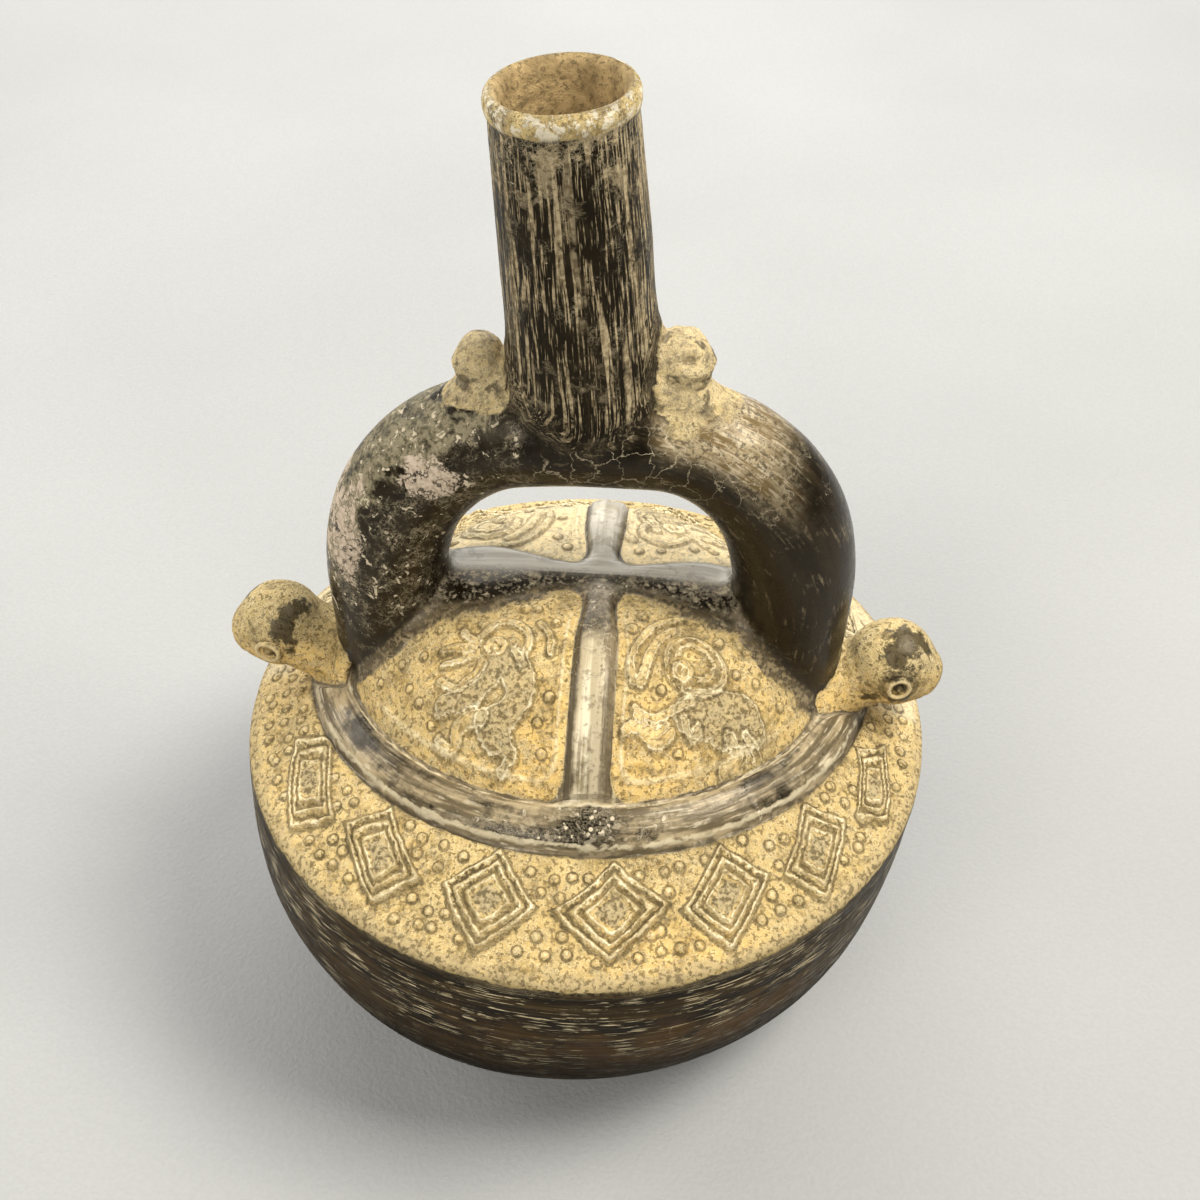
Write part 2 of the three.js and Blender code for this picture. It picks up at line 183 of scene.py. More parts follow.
def figure(x, y):
    """Height and stipple of the two creatures, for the front pair of panels."""
    h = np.zeros(x.shape)
    st = np.zeros(x.shape)
    line = np.zeros(x.shape)
    ld = np.full(x.shape, 2.5)
    bd = np.full(x.shape, 2.5)
    for strokes in (CREATURE_A, CREATURE_B):
        for pts, w0, w1, hh, stip in strokes:
            d, t = polyline_distance(x, y, curve(pts))
            w = w0 + (w1 - w0) * t
            k = np.clip(1 - (d / (w + 0.35)) ** 2, 0, 1)
            lift = hh * np.sqrt(k) if stip else hh * k ** 0.8
            h = np.maximum(h, lift)
            if stip:
                bd = np.minimum(bd, d - w)
                st = np.maximum(st, smooth(0, 0.5, k))
                line = np.maximum(line, 0.7 * gauss(d - w + 0.2, 0.45))
            else:
                ld = np.minimum(ld, d - w)
                line = np.maximum(line, smooth(0.2, 0.9, k))
    for (ex, ey, er), blob in ((EYE_A, 3.6), (EYE_B, 0.0)):
        d = np.hypot(x - ex, y - ey)
        if blob:
            b = 0.55 * np.clip(1 - (d / blob) ** 2, 0, 1) ** 0.6
            h = np.maximum(h, b)
        ring = 0.6 * gauss(d - er, 0.5)
        h = np.where(d < er + 1.2, np.maximum(h * smooth(er, er + 1.0, d) + 0.35, 0.35) + ring + 0.35 * gauss(d, 0.6), h)
        line = np.maximum(line, gauss(d - er, 0.5))
        ld = np.where(d < er + 1.4, np.minimum(np.abs(d - er) - 0.35, d - 0.3), ld)
        bd = np.where(d < er + 1.0, 2.0, bd)
    # round head of the second creature: a ring of plates round its eye
    hx, hy, hr = HEAD_B
    ang = np.arctan2(y - hy, x - hx)
    d = np.hypot((x - hx) * 0.95, (y - hy) * 1.02)
    rim = hr * (1 + 0.03 * np.cos(3 * ang))
    body = 0.75 * np.clip(1 - (d / rim) ** 4, 0, 1) ** 0.6
    eye_d = np.hypot(x - EYE_B[0], y - EYE_B[1])
    inner = 0.35 * gauss(d - rim + 2.6, 0.5) * (0.6 + 0.4 * np.cos(7 * ang)) + 0.3 * gauss(d - rim + 0.7, 0.5)
    keep = smooth(2.4, 3.2, eye_d)
    h = np.maximum(h, (body + inner) * keep + (1 - keep) * h)
    h = h - 0.9 * gauss(np.hypot(x - HOLE_B[0], y - HOLE_B[1]), HOLE_B[2])
    line = np.maximum(line, 0.8 * gauss(d - rim + 0.6, 0.5) * (eye_d > 2.8))
    st = np.maximum(st, 0.5 * (body > 0.3) * keep)
    ld = np.where(eye_d > 3.0, np.minimum(ld, np.minimum(np.abs(d - rim + 0.5) - 0.45, np.abs(d - rim + 2.6) - 0.3)), ld)
    return h, st, line, ld, bd


def rib_centre(y):
    return np.where(y < 0, 2.9 + 0.5 * smooth(0, 30, -y), 2.6 - 0.6 * smooth(0, 30, y))


LEGS = ((-ARCH_A + 0.9, 0.0), (ARCH_A - 0.9, 0.0))


def panel_distance(x, y):
    """Distance in from the edge of a panel, negative on the bands and under the legs."""
    s = LENS_OUT - np.hypot(x, np.abs(y) + LENS_C)
    rib = np.abs(x - rib_centre(y)) - (3.0 + 1.15 * smooth(6, 20, np.abs(y)))
    ax = np.abs(x - 2)
    flare = np.where(x < 0, 7.0, 5.4) * smooth(4, 27, ax) * (1 - smooth(33, 50, ax))
    crest = np.where(y < 0, -y - (2.8 + flare), y - (5.0 + 0.7 * flare))
    d = smin(s - 7.6, rib, 4.0)
    d = smin(d, crest, 5.0)
    for lx, ly in LEGS:
        d = smin(d, np.hypot(x - lx, y - ly) - 12.5, 2.5)
    return d, s


def panel_top_distance(x, y):
    """Distance in front of the crest and the legs."""
    ax = np.abs(x - 2)
    flare = np.where(x < 0, 7.0, 5.4) * smooth(4, 27, ax) * (1 - smooth(33, 50, ax))
    d = -y - (2.8 + flare)
    for lx, ly in LEGS:
        d = smin(d, np.hypot(x - lx, y - ly) - 12.5, 2.5)
    return d


def dots():
    rng = np.random.default_rng(11)
    out = []
    # on the sloping ring
    for j, r in enumerate(np.arange(0.70 * R, 0.975 * R, 3.55)):
        n = int(2 * math.pi * r / 4.5)
        for i in range(n):
            th = (i + 0.5 * (j % 2)) / n * 2 * math.pi + rng.normal(0, 0.012)
            rr = r + rng.normal(0, 0.4)
            out.append((rr * math.sin(th), -rr * math.cos(th), rng.uniform(0.75, 1.1), 0))
    # in the panels
    for j, y0 in enumerate(np.arange(-0.62 * R, 0.62 * R, 4.1)):
        for x0 in np.arange(-0.78 * R, 0.78 * R, 4.9):
            out.append((x0 + 2.4 * (j % 2) + rng.normal(0, 0.55), y0 + rng.normal(0, 0.5), rng.uniform(0.7, 1.15), 1))
    out = np.array(out)
    x, y = out[:, 0], out[:, 1]
    s = LENS_OUT - np.hypot(x, np.abs(y) + LENS_C)
    dp, _ = panel_distance(x, y)
    ok = np.zeros(len(out), bool)
    ring = (out[:, 3] == 0) & (s < -2.1) & (np.hypot(x, y) < R - 3.3)
    for loz in LOZ_ALL:
        u, v, at, ar = lozenge_frame(x, y, loz)
        w = at * ar / math.hypot(at, ar)
        ring &= (np.abs(u) / at + np.abs(v) / ar - 1) * w > 1.5
    side = np.where(y < 0, 1.0, -1.0)
    hgt = figure(x * side, y * side)[0]
    near = np.zeros(len(out))
    for ox, oy in ((1.3, 0), (-1.3, 0), (0, 1.3), (0, -1.3)):
        hh = figure((x + ox) * side, (y + oy) * side)[0]
        near = np.maximum(near, hh)
    pan = (out[:, 3] == 1) & (dp > 3.3) & (hgt < 0.05) & (near < 0.12)
    return out[ring | pan]


DOTS = dots()


def top(x, y):
    """Height above the shoulder plane and the surface's masks, at plan positions in mm."""
    x = np.asarray(x, float)
    y = np.asarray(y, float)
    r = np.hypot(x, y)
    th = np.arctan2(x, -y)
    rin, rout = lens_r(th, LENS_IN), lens_r(th, LENS_OUT)
    dp, s = panel_distance(x, y)
    zf = 0.5 * (R - r)
    zb = 0.5 * (R - rin) + 0.015 * R
    zo = 0.5 * (R - rout)
    sig = np.clip((s - 7.6) / (0.59 * R), 0, 1)
    zd = zb + (CREST - zb) * (1 - (1 - sig) ** 4)
    zband = zo + (zb - zo) * np.clip(s / 7.6, 0, 1)
    z = np.where(s < 0, zf, np.where(s < 7.6, zband, zd))
    slope_z = z.copy()
    # rolls: curved bands, rib and crest
    inner = np.sqrt(1 - (1 - np.clip(-dp / 3.0, 0, 1)) ** 2)
    crest_d = panel_top_distance(x, y)
    melt = smooth(6.0, 1.0, crest_d - dp) * (y < 0)
    inner = inner * (1 - melt) + smooth(4.0, -6.0, dp) * melt
    outer = np.sqrt(1 - (1 - np.clip(s / 2.8, 0, 1)) ** 2)
    roll = np.minimum(inner, outer)
    roll = roll * (1 + 0.06 * vnoise(x, y, z, 14, 3))
    z = z + 1.75 * roll
    z = z - 0.5 * gauss(s + 0.35, 0.55) - 0.14 * gauss(dp - 0.3, 0.5) * (1 - melt)
    band = smooth(-0.1, 0.9, -dp) * smooth(0.0, 0.9, s)
    band_all = np.clip(band, 0, 1)
    inpan = smooth(0.1, 0.9, dp)
    # thin ridge just inside the panels' edge
    far_leg = smooth(17, 24, np.minimum(np.hypot(x - LEGS[0][0], y), np.hypot(x - LEGS[1][0], y)))
    edge_ridge = gauss(dp - 2.3, 0.5) * far_leg * smooth(9, 14, np.abs(y))
    z = z + 0.42 * edge_ridge * (1 + 0.5 * vnoise(x, y, z, 5, 4))
    line = 0.8 * edge_ridge
    # figures in the panels
    side = np.where(y < 0, 1.0, -1.0)
    fh, fs, fl, ld, bd = figure(x * side, y * side)
    rough = vnoise(x, y, z, 1.35, 5)
    z = z + inpan * (1.05 * fh + 0.34 * fs * rough - 0.16 * np.clip(gauss(np.minimum(ld, bd) - 0.9, 0.6), 0, 1))
    line = np.maximum(line, fl * inpan)
    stipple = fs * inpan
    # lozenges
    isring = smooth(0.2, 1.0, -s)
    lzm = np.full(x.shape, -0.5)
    for loz in LOZ_ALL:
        u, v, at, ar = lozenge_frame(x, y, loz)
        near = (np.abs(u) < 1.6 * at) & (np.abs(v) < 2 * ar)
        if not near.any():
            continue
        w = at * ar / math.hypot(at, ar)
        wob = 0.34 * vnoise(x, y, 0 * x + loz[0], 4.5, 6) + 0.22 * vnoise(x, y, 0 * x + loz[0], 1.7, 16)
        d = (1 - (np.abs(u) / at + np.abs(v) / ar)) * w + wob
        lz = 0.8 * gauss(d, 0.5) + 0.66 * gauss(d - 0.265 * w, 0.42) + 0.6 * gauss(d - 0.52 * w, 0.4)
        lz = lz - 0.2 * gauss(d - 0.13 * w, 0.35) - 0.28 * gauss(d - 0.395 * w, 0.4)
        core = smooth(0.62 * w, 0.78 * w, d)
        lz = lz + core * (0.55 + 0.4 * vnoise(x, y, z, 1.3, 7))
        lz = lz + 0.22 * smooth(-0.4, 0.6, d) - 0.18 * gauss(d + 1.2, 0.7)
        keep = near & (np.abs(u) < 1.5 * at)
        z = z + np.where(keep, 1.15 * lz * isring, 0)
        lzm = np.where(near, np.maximum(lzm, d / w), lzm)
        ln = np.maximum.reduce([gauss(d, 0.6), gauss(d - 0.265 * w, 0.5), gauss(d - 0.52 * w, 0.46), 0.8 * core])
        line = np.maximum(line, np.where(keep, ln * isring, 0))
        stipple = np.maximum(stipple, np.where(keep, 0.7 * core, 0))
        # short bridge to the next lozenge
        bridge = gauss(v, 0.75) * smooth(at - 0.5, at + 0.3, np.abs(u)) * smooth(at + 4.6, at + 2.4, np.abs(u))
        z = z + np.where(near, 0.45 * bridge * isring, 0)
    # raised dots
    dot = np.zeros(x.shape)
    dtm = np.full(x.shape, 3.0)
    for px, py, k, kind in DOTS:
        m = (np.abs(x - px) < 2.4) & (np.abs(y - py) < 2.4)
        if m.any():
            dz = slope_z[m] - slope_z[m][np.argmin(np.hypot(x[m] - px, y[m] - py))]
            d = np.sqrt((x[m] - px) ** 2 + (y[m] - py) ** 2 + dz * dz)
            dot[m] = np.maximum(dot[m], k * np.clip(1 - (d / 1.08) ** 2, 0, 1) ** 0.7)
            dtm[m] = np.minimum(dtm[m], d / k ** 0.5)
            z[m] -= 0.10 * k * gauss(d - 1.5, 0.4)
    z = z + 0.78 * dot
    # clay ground that isn't quite flat
    ground = np.maximum(inpan, isring)
    z = z + ground * (0.16 * vnoise(x, y, z, 2.1, 8) + 0.22 * vnoise(x, y, z, 6.5, 9)) * (1 - 0.5 * np.minimum(line, 1))
    z = z + 0.25 * vnoise(x, y, z, 24, 10)
    # fillets up the legs
    for lx, ly in LEGS:
        d = np.hypot(x - lx, y - ly) - 12.0
        rf = 3.4
        dd = np.clip(d, 0.45, rf)
        up = rf - np.sqrt(np.maximum(rf * rf - (rf - dd) ** 2, 0))
        z = z + np.where(d < rf, up + np.clip(0.45 - d, 0, 3) * 0.3, 0)
    # worn, slightly rounded shoulder
    e = np.clip((r - (R - 2.6)) / 2.6, 0, 1)
    z = z + 0.35 * gauss(r - (R - 2.9), 1.1) - 0.75 * e * e
    trans = smooth(8.5, 0.0, crest_d + 1.2 * vnoise(x, y, z, 7, 13)) * (y < 0) * (s > 6)
    masks = {"line": np.clip(np.maximum(line, dot), 0, 1), "band": np.clip(band, 0, 1), "stipple": np.clip(stipple, 0, 1),
             "panel": inpan * (s > 0) * (1 - 0.66 * trans), "trans": trans * inpan, "wash": smooth(-3.5, 2.0, crest_d) * (y < 0) * smooth(8.0, 10.0, s) * smooth(14.0, 1.0, crest_d), "ring": isring, "groove": np.clip(gauss(s + 0.35, 0.6) + 0.3 * gauss(dp - 0.2, 0.45) * (s > 1) * (1 - melt), 0, 1),
             "edge": smooth(R - 3.0, R - 0.9, r)}
    legd = np.minimum(np.hypot(x - LEGS[0][0], y), np.hypot(x - LEGS[1][0], y))
    masks["foot"] = 1 - smooth(12.6, 16.0, legd + 1.4 * vnoise(x, y, z, 4, 12))
    masks["rib"] = smooth(7.0, 8.6, s) * smooth(9, 14, np.abs(y)) * (1 - smooth(6.5, 9, np.abs(x - rib_centre(y))))
    masks["arc"] = smooth(-0.9, -0.1, s) * (1 - smooth(7.6, 9.0, s))
    # back: behind the crest, where the material paints window glare as paler colour (painted reflection) and makes the
    # bands glossier
    masks["back"] = smooth(-1.6, 2.0, y) * (1 - 0.9 * smooth(34, 50, y))
    masks["d_rib"] = np.clip(x - rib_centre(y), -8, 8)
    # distances in mm the material draws its fine edges from
    masks["d_loz"] = lzm * 1.0
    masks["d_line"] = np.where(inpan > 0.02, ld, 2.5)
    masks["d_body"] = np.where(inpan > 0.02, bd, 2.5)
    masks["d_dot"] = dtm
    masks["d_pan"] = np.clip(dp, -4, 6)
    masks["d_lens"] = np.clip(s, -4, 60)
    return z, masks


# ------------------------------------------------------------------------------------------
# Mesh building
# ------------------------------------------------------------------------------------------
def place(P):
    P = np.asarray(P, float)
    return (P + np.array(SHIFT)) * 0.001


def make(name, verts, faces, slot):
    """A closed mesh object. slot says which part of the vessel its faces belong to."""
    me = bpy.data.meshes.new(name)
    me.from_pydata([tuple(v) for v in place(verts)], [], [tuple(int(k) for k in f) for f in faces])
    me.validate()
    for m in KINDS:
        me.materials.append(m)
    me.polygons.foreach_set("material_index", np.full(len(me.polygons), slot, np.int32))
    me.update()
    ob = bpy.data.objects.new(name, me)
    bpy.context.scene.collection.objects.link(ob)
    v = sum(p.area * p.normal.dot(p.center - Vector((0, 0, 0.05))) for p in me.polygons) / 3
    if v < 0:
        me.flip_normals()
    return ob


TOP, BOWL, TUBE, SPOUT, HEAD, NUB, INSIDE = range(7)
KINDS = [bpy.data.materials.new(f"kind_{k}") for k in range(7)]


def loop_faces(a, b):
    """Quads between two rings of the same count."""
    n = len(a)
    return [(a[i], a[(i + 1) % n], b[(i + 1) % n], b[i]) for i in range(n)]


def zip_loops(a, b):
    """Triangles between two closed rings that start at the same angle and run the same way."""
    n, m = len(a), len(b)
    i = j = 0
    out = []
    while i < n or j < m:
        if j >= m or (i < n and (i + 1) / n <= (j + 1) / m):
            out.append((a[i % n], a[(i + 1) % n], b[j % m]))
            i += 1
        else:
            out.append((a[i % n], b[(j + 1) % m], b[j % m]))
            j += 1
    return out


def body():
    N = 268
    g = np.linspace(-1, 1, N + 1)
    A, B = np.meshgrid(g, g, indexing="ij")
    with np.errstate(divide="ignore", invalid="ignore"):
        first = np.abs(A) > np.abs(B)
        rr = np.where(first, A, B)
        ph = np.where(first, math.pi / 4 * (B / np.where(A == 0, 1, A)), math.pi / 2 - math.pi / 4 * (A / np.where(B == 0, 1, B)))
    rr = np.where((A == 0) & (B == 0), 0, rr)
    X = rr * np.cos(ph) * (R - 0.45)
    Y = rr * np.sin(ph) * (R - 0.45)
    Z, _ = top(X.ravel(), Y.ravel())
    verts = list(np.c_[X.ravel(), Y.ravel(), Z])
    idx = np.arange((N + 1) ** 2).reshape(N + 1, N + 1)
    faces = []
    for i in range(N):
        for j in range(N):
            a, b, c, d = idx[i, j], idx[i + 1, j], idx[i + 1, j + 1], idx[i, j + 1]
            za, zc = verts[a][2] + verts[c][2], verts[b][2] + verts[d][2]
            if abs(verts[a][2] - verts[c][2]) < abs(verts[b][2] - verts[d][2]):
                faces += [(a, b, c), (a, c, d)]
            else:
                faces += [(a, b, d), (b, c, d)]
    # the outermost loop, from +X+... round
    loop = list(idx[N, :N]) + list(idx[N:0:-1, N]) + list(idx[0, N:0:-1]) + list(idx[:N, 0])
    ang = np.array([math.atan2(verts[k][1], verts[k][0]) for k in loop])
    start = int(np.argmin(np.abs(ang)))
    loop = loop[start:] + loop[:start]
    step = (math.atan2(verts[loop[1]][1], verts[loop[1]][0]) - math.atan2(verts[loop[0]][1], verts[loop[0]][0]))
    if step < 0:
        loop = [loop[0]] + loop[:0:-1]
    top_faces = len(faces)

    def ring(n, r, z, dx=0.0, wob=1.0):
        nonlocal verts
        a = np.arange(n) / n * 2 * math.pi
        cx, cy = np.cos(a), np.sin(a)
        dr = wob * (0.45 * vnoise(cx * 70, cy * 70, z + 0 * cx, 34, 21) + 0.10 * vnoise(cx * 70, cy * 70, z + 0 * cx, 9, 22))
        low_left = 1.1 * np.clip(-cx, 0, 1) * math.sin(math.pi * min(1, max(0, -z / ZS)))
        rr = r + dr + low_left
        first = len(verts)
        verts += list(np.c_[dx + rr * cx, rr * cy, np.full(n, z)])
        return list(range(first, first + n))

    n2, n4 = len(loop) // 2, 180
    prev = loop
    reach = math.acos((FOOT_R / R) ** (BOWL_P / 2)) / (math.pi / 2)
    d_end = math.sin(reach * math.pi / 2) ** (2 / BOWL_P)
    for n, r, z in ((n2, R - 0.12, -1.35), (n4, R, -2.5)):
        cur = ring(n, r, z, 0, min(1, -z / 3))
        faces += zip_loops(prev, cur)
        prev = cur
    rows = 27
    # even steps along the profile
    aa = np.linspace(0, reach * math.pi / 2, 900)
    pr = R * np.cos(aa) ** (2 / BOWL_P)
    pz = -ZS * np.sin(aa) ** (2 / BOWL_P) / d_end
    keep = pz < -3.6
    pr, pz = pr[keep], pz[keep]
    ln = np.r_[0, np.cumsum(np.hypot(np.diff(pr), np.diff(pz)))]
    for k in range(rows + 1):
        t = ln[-1] * k / rows
        r, z = float(np.interp(t, ln, pr)), float(np.interp(t, ln, pz))
        n = n4 if r > 46 else 90
        cur = ring(n, r, z, FOOT_DX * (-z / ZS), 1 - smooth(-60, -70, np.array(z)))
        faces += loop_faces(prev, cur) if len(prev) == len(cur) else zip_loops(prev, cur)
        prev = cur
    for r in (16.0, 8.0):
        a = np.arange(90) / 90 * 2 * math.pi
        first = len(verts)
        verts += list(np.c_[FOOT_DX + r * np.cos(a), r * np.sin(a), np.full(90, -ZS)])
        cur = list(range(first, first + 90))
        faces += loop_faces(prev, cur)
        prev = cur
    verts.append(np.array([FOOT_DX, 0, -ZS]))
    faces += [(prev[i], prev[(i + 1) % len(prev)], len(verts) - 1) for i in range(len(prev))]
    faces[top_faces:] = [f[::-1] for f in faces[top_faces:]]
    ob = make("vessel_clay", np.array(verts), faces, BOWL)
    mi = np.full(len(ob.data.polygons), BOWL, np.int32)
    mi[:top_faces] = TOP
    ob.data.polygons.foreach_set("material_index", mi)
    return ob


def hoop(a, dip_scale=1.0):
    """A point on the stirrup's centre line; a runs from below zero to above pi."""
    c, s = math.cos(a), math.sin(a)
    e = 2 / (ARCH_PL if c < 0 else ARCH_PR)
    if s >= 0:
        return np.array([math.copysign(ARCH_A * abs(c) ** e, c), 0, ARCH_ZB + ARCH_H * s ** e])
    return np.array([math.copysign(ARCH_A - 10 * (1 - abs(c)), c), 0, ARCH_ZB + 0.95 * ARCH_H * s])


def hoop_points(dip, n):
    raw = np.array([hoop(a) for a in np.linspace(-dip, math.pi + dip, 1200)])
    L = np.r_[0, np.cumsum(np.linalg.norm(np.diff(raw, axis=0), axis=1))]
    t = np.linspace(0, L[-1], n)
    return np.c_[np.interp(t, L, raw[:, 0]), 0 * t, np.interp(t, L, raw[:, 2])], t


def tube_radius(p):
    up = np.clip((p[:, 2] - ARCH_ZB) / ARCH_H, 0, 1)
    return LEG_R + (CROWN_R - LEG_R) * up + HAUNCH_R * 4 * up * (1 - up)


def sweep(name, P, rad, wide, sides, slot, wob=0.0):
    T = np.gradient(P, axis=0)
    T /= np.linalg.norm(T, axis=1, keepdims=True)
    Bn = np.cross(T, np.array([0, 1.0, 0]))
    verts, faces = [], []
    a = np.arange(sides) / sides * 2 * math.pi
    prev = None
    for i in range(len(P)):
        ring = P[i] + rad[i] * np.cos(a)[:, None] * Bn[i] + (rad[i] + wide[i]) * np.sin(a)[:, None] * np.array([0, 1.0, 0])
        if wob:
            n = ring - P[i]
            n /= np.linalg.norm(n, axis=1, keepdims=True)
            ring = ring + n * wob * (vnoise(*ring.T, 22, 31) * 0.8 + vnoise(*ring.T, 8, 32) * 0.25)[:, None]
        first = len(verts)
        verts += list(ring)
        cur = list(range(first, first + sides))
        if prev:
            faces += loop_faces(prev, cur)
        prev = cur
    for k, ring in ((0, list(range(sides))), (-1, prev)):
        verts.append(P[k])
        c = len(verts) - 1
        faces += [((ring[(i + 1) % sides], ring[i], c) if k == 0 else (ring[i], ring[(i + 1) % sides], c)) for i in range(sides)]
    return make(name, np.array(verts), faces, slot)


def spout_axis(z):
    """Sideways shift of the spout's axis at a height."""
    return -math.tan(LEAN) * (z - CROWN)


def lathe(name, prof, sides, slot, wob=0.0, seed=41):
    """A turned form about the spout's leaning axis; profile is (radius, distance up the axis)."""
    verts, faces = [], []
    a = np.arange(sides) / sides * 2 * math.pi
    up = np.array([-math.sin(LEAN), 0, math.cos(LEAN)])
    ux = np.array([math.cos(LEAN), 0, math.sin(LEAN)])
    uy = np.array([0, 1.0, 0])
    base = np.array([0, 0, CROWN])
    prev = None
    for k, (r, h) in enumerate(prof):
        c = base + up * h
        if r <= 1e-6:
            verts.append(c)
            cur = [len(verts) - 1]
        else:
            ring = c + r * (np.cos(a)[:, None] * ux + np.sin(a)[:, None] * uy)
            if wob:
                n = (ring - c) / r
                ring = ring + n * wob * (vnoise(*ring.T, 18, seed) + 0.25 * vnoise(*ring.T, 5, seed + 1))[:, None]
            first = len(verts)
            verts += list(ring)
            cur = list(range(first, first + sides))
        if prev:
            if len(prev) == 1:
                faces += [(cur[(i + 1) % sides], cur[i], prev[0]) for i in range(sides)]
            elif len(cur) == 1:
                faces += [(prev[i], prev[(i + 1) % sides], cur[0]) for i in range(sides)]
            else:
                faces += loop_faces(prev, cur)
        prev = cur
    return make(name, np.array(verts), faces, slot)


def ball(name, centre, shape, sides, rows, slot):
    """A closed round form; shape(direction array) gives the offsets from the centre."""
    verts, faces = [], []
    a = np.arange(sides) / sides * 2 * math.pi
    dirs = [np.array([[0, 0, 1.0]])]
    for k in range(1, rows):
        b = math.pi * k / rows
        dirs.append(np.c_[np.sin(b) * np.cos(a), np.sin(b) * np.sin(a), np.full(sides, math.cos(b))])
    dirs.append(np.array([[0, 0, -1.0]]))
    D = np.concatenate(dirs)
    V = np.asarray(centre) + shape(D)
    rings = [[0]] + [list(range(1 + k * sides, 1 + (k + 1) * sides)) for k in range(rows - 1)] + [[len(D) - 1]]
    for p, q in zip(rings[:-1], rings[1:]):
        if len(p) == 1:
            faces += [(p[0], q[i], q[(i + 1) % sides]) for i in range(sides)]
        elif len(q) == 1:
            faces += [(p[(i + 1) % sides], p[i], q[0]) for i in range(sides)]
        else:
            faces += [(p[i], q[i], q[(i + 1) % sides], p[(i + 1) % sides]) for i in range(sides)]
    return make(name, V, faces, slot)


def torus(name, centre, normal, r, thick, slot, n=30, m=8):
    nrm = np.array(normal, float)
    nrm /= np.linalg.norm(nrm)
    u = np.cross(nrm, [0, 0, 1.0])
    u /= np.linalg.norm(u)
    v = np.cross(nrm, u)
    verts, faces = [], []
    for i in range(n):
        a = 2 * math.pi * i / n
        d = math.cos(a) * u + math.sin(a) * v
        for j in range(m):
            b = 2 * math.pi * j / m
            verts.append(np.array(centre) + d * (r + thick * math.cos(b)) + nrm * thick * math.sin(b) * 1.1)
    for i in range(n):
        for j in range(m):
            i2, j2 = (i + 1) % n, (j + 1) % m
            faces.append((i * m + j, i2 * m + j, i2 * m + j2, i * m + j2))
    return make(name, np.array(verts), faces, slot)


def boolean(ob, other, operation):
    mod = ob.modifiers.new("b", "BOOLEAN")
    mod.operation = operation
    mod.solver = "MANIFOLD"
    mod.object = other
    dg = bpy.context.evaluated_depsgraph_get()
    me = bpy.data.meshes.new_from_object(ob.evaluated_get(dg))
    ob.modifiers.remove(mod)
    old = ob.data
    ob.data = me
    bpy.data.meshes.remove(old)
    bpy.data.objects.remove(other, do_unlink=True)


# ---- the heads on the shoulder -----------------------------------------------------------
HEADS = {-1: np.array([-0.886 * R, 0.0, 0.268 * R]), 1: np.array([0.862 * R, 0.0, 0.268 * R])}


def head_shape(s):
    def shape(D):
        fwd = np.array([s * 0.93, 0, -0.36])
        c = D @ fwd
        r = 9.7 + 0.7 * np.clip(c, -1, 1)
        r = r + 1.5 * np.exp(-((1 - c) / 0.16) ** 2)  # muzzle
        upn = D[:, 2] * 0.93 + D[:, 0] * s * 0.36
        r = r * (1 - 0.06 * np.abs(D[:, 1]) ** 2)
        # brow over each eye, and the line of the mouth
        brow = np.exp(-((upn - 0.36 - 0.15 * (c - 0.3)) / 0.07) ** 2) * smooth(0.35, 0.6, np.abs(D[:, 1])) * smooth(-0.5, -0.1, c)
        r = r + 0.38 * brow
        mouth = np.exp(-((upn + 0.22) / 0.045) ** 2) * smooth(0.45, 0.75, c)
        r = r - 0.5 * mouth
        socket = np.exp(-(((D - np.array([s * 0.23, 0, 0])) * [1, 0, 1]) ** 2).sum(1) / 0.11) * smooth(0.5, 0.8, np.abs(D[:, 1]))
        r = r - 0.25 * socket
        P = D * r[:, None]
        r2 = 1 + 0.02 * vnoise(*(P + 50 * s).T, 7, 51) + 0.008 * vnoise(*(P + 50 * s).T, 2.2, 52)
        return P * r2[:, None]
    return shape


def heads(parts):
    for s, c in HEADS.items():
        parts.append(ball(f"head{s}", c, head_shape(s), 56, 40, HEAD))
        # neck: from the head down and in to the shoulder, flared at its foot
        foot = np.array([c[0] - s * 14.0, 0, c[2] - 7.0])
        n = 20
        t = np.linspace(0, 1, n)[:, None]
        P = c + np.array([-s * 1.0, 0, -0.8]) + (foot - c) * t + np.array([0, 0, -0.9]) * np.sin(math.pi * t)
        rad = 8.3 - 0.5 * np.sin(math.pi * np.clip(t[:, 0] * 1.5, 0, 1)) + 3.4 * smooth(0.5, 1.0, t[:, 0]) ** 1.5
        parts.append(sweep(f"neck{s}", P, rad, 0.3 + 0 * rad, 36, HEAD, 0.5))
        for side in (-1, 1):
            dz = 0.2 if s < 0 else 1.6
            e = c + np.array([s * 1.7, side * 9.0, dz - 1.2])
            nrm = e - c
            parts.append(torus(f"eye{s}{side}", e, nrm, 2.5 if s < 0 else 2.25, 0.56, HEAD))
            nn = nrm / np.linalg.norm(nrm)
            parts.append(ball(f"pupil{s}{side}", e - nn * 0.2, lambda D, nn=nn: D * 0.95, 16, 10, HEAD))


# ---- the small heads on the crown -----------------------------------------------------------
NUBS = {-1: (np.array([-0.272 * R, -0.6, 1.215 * R]), 5.2), 1: (np.array([0.218 * R, -0.6, 1.245 * R]), 6.4)}


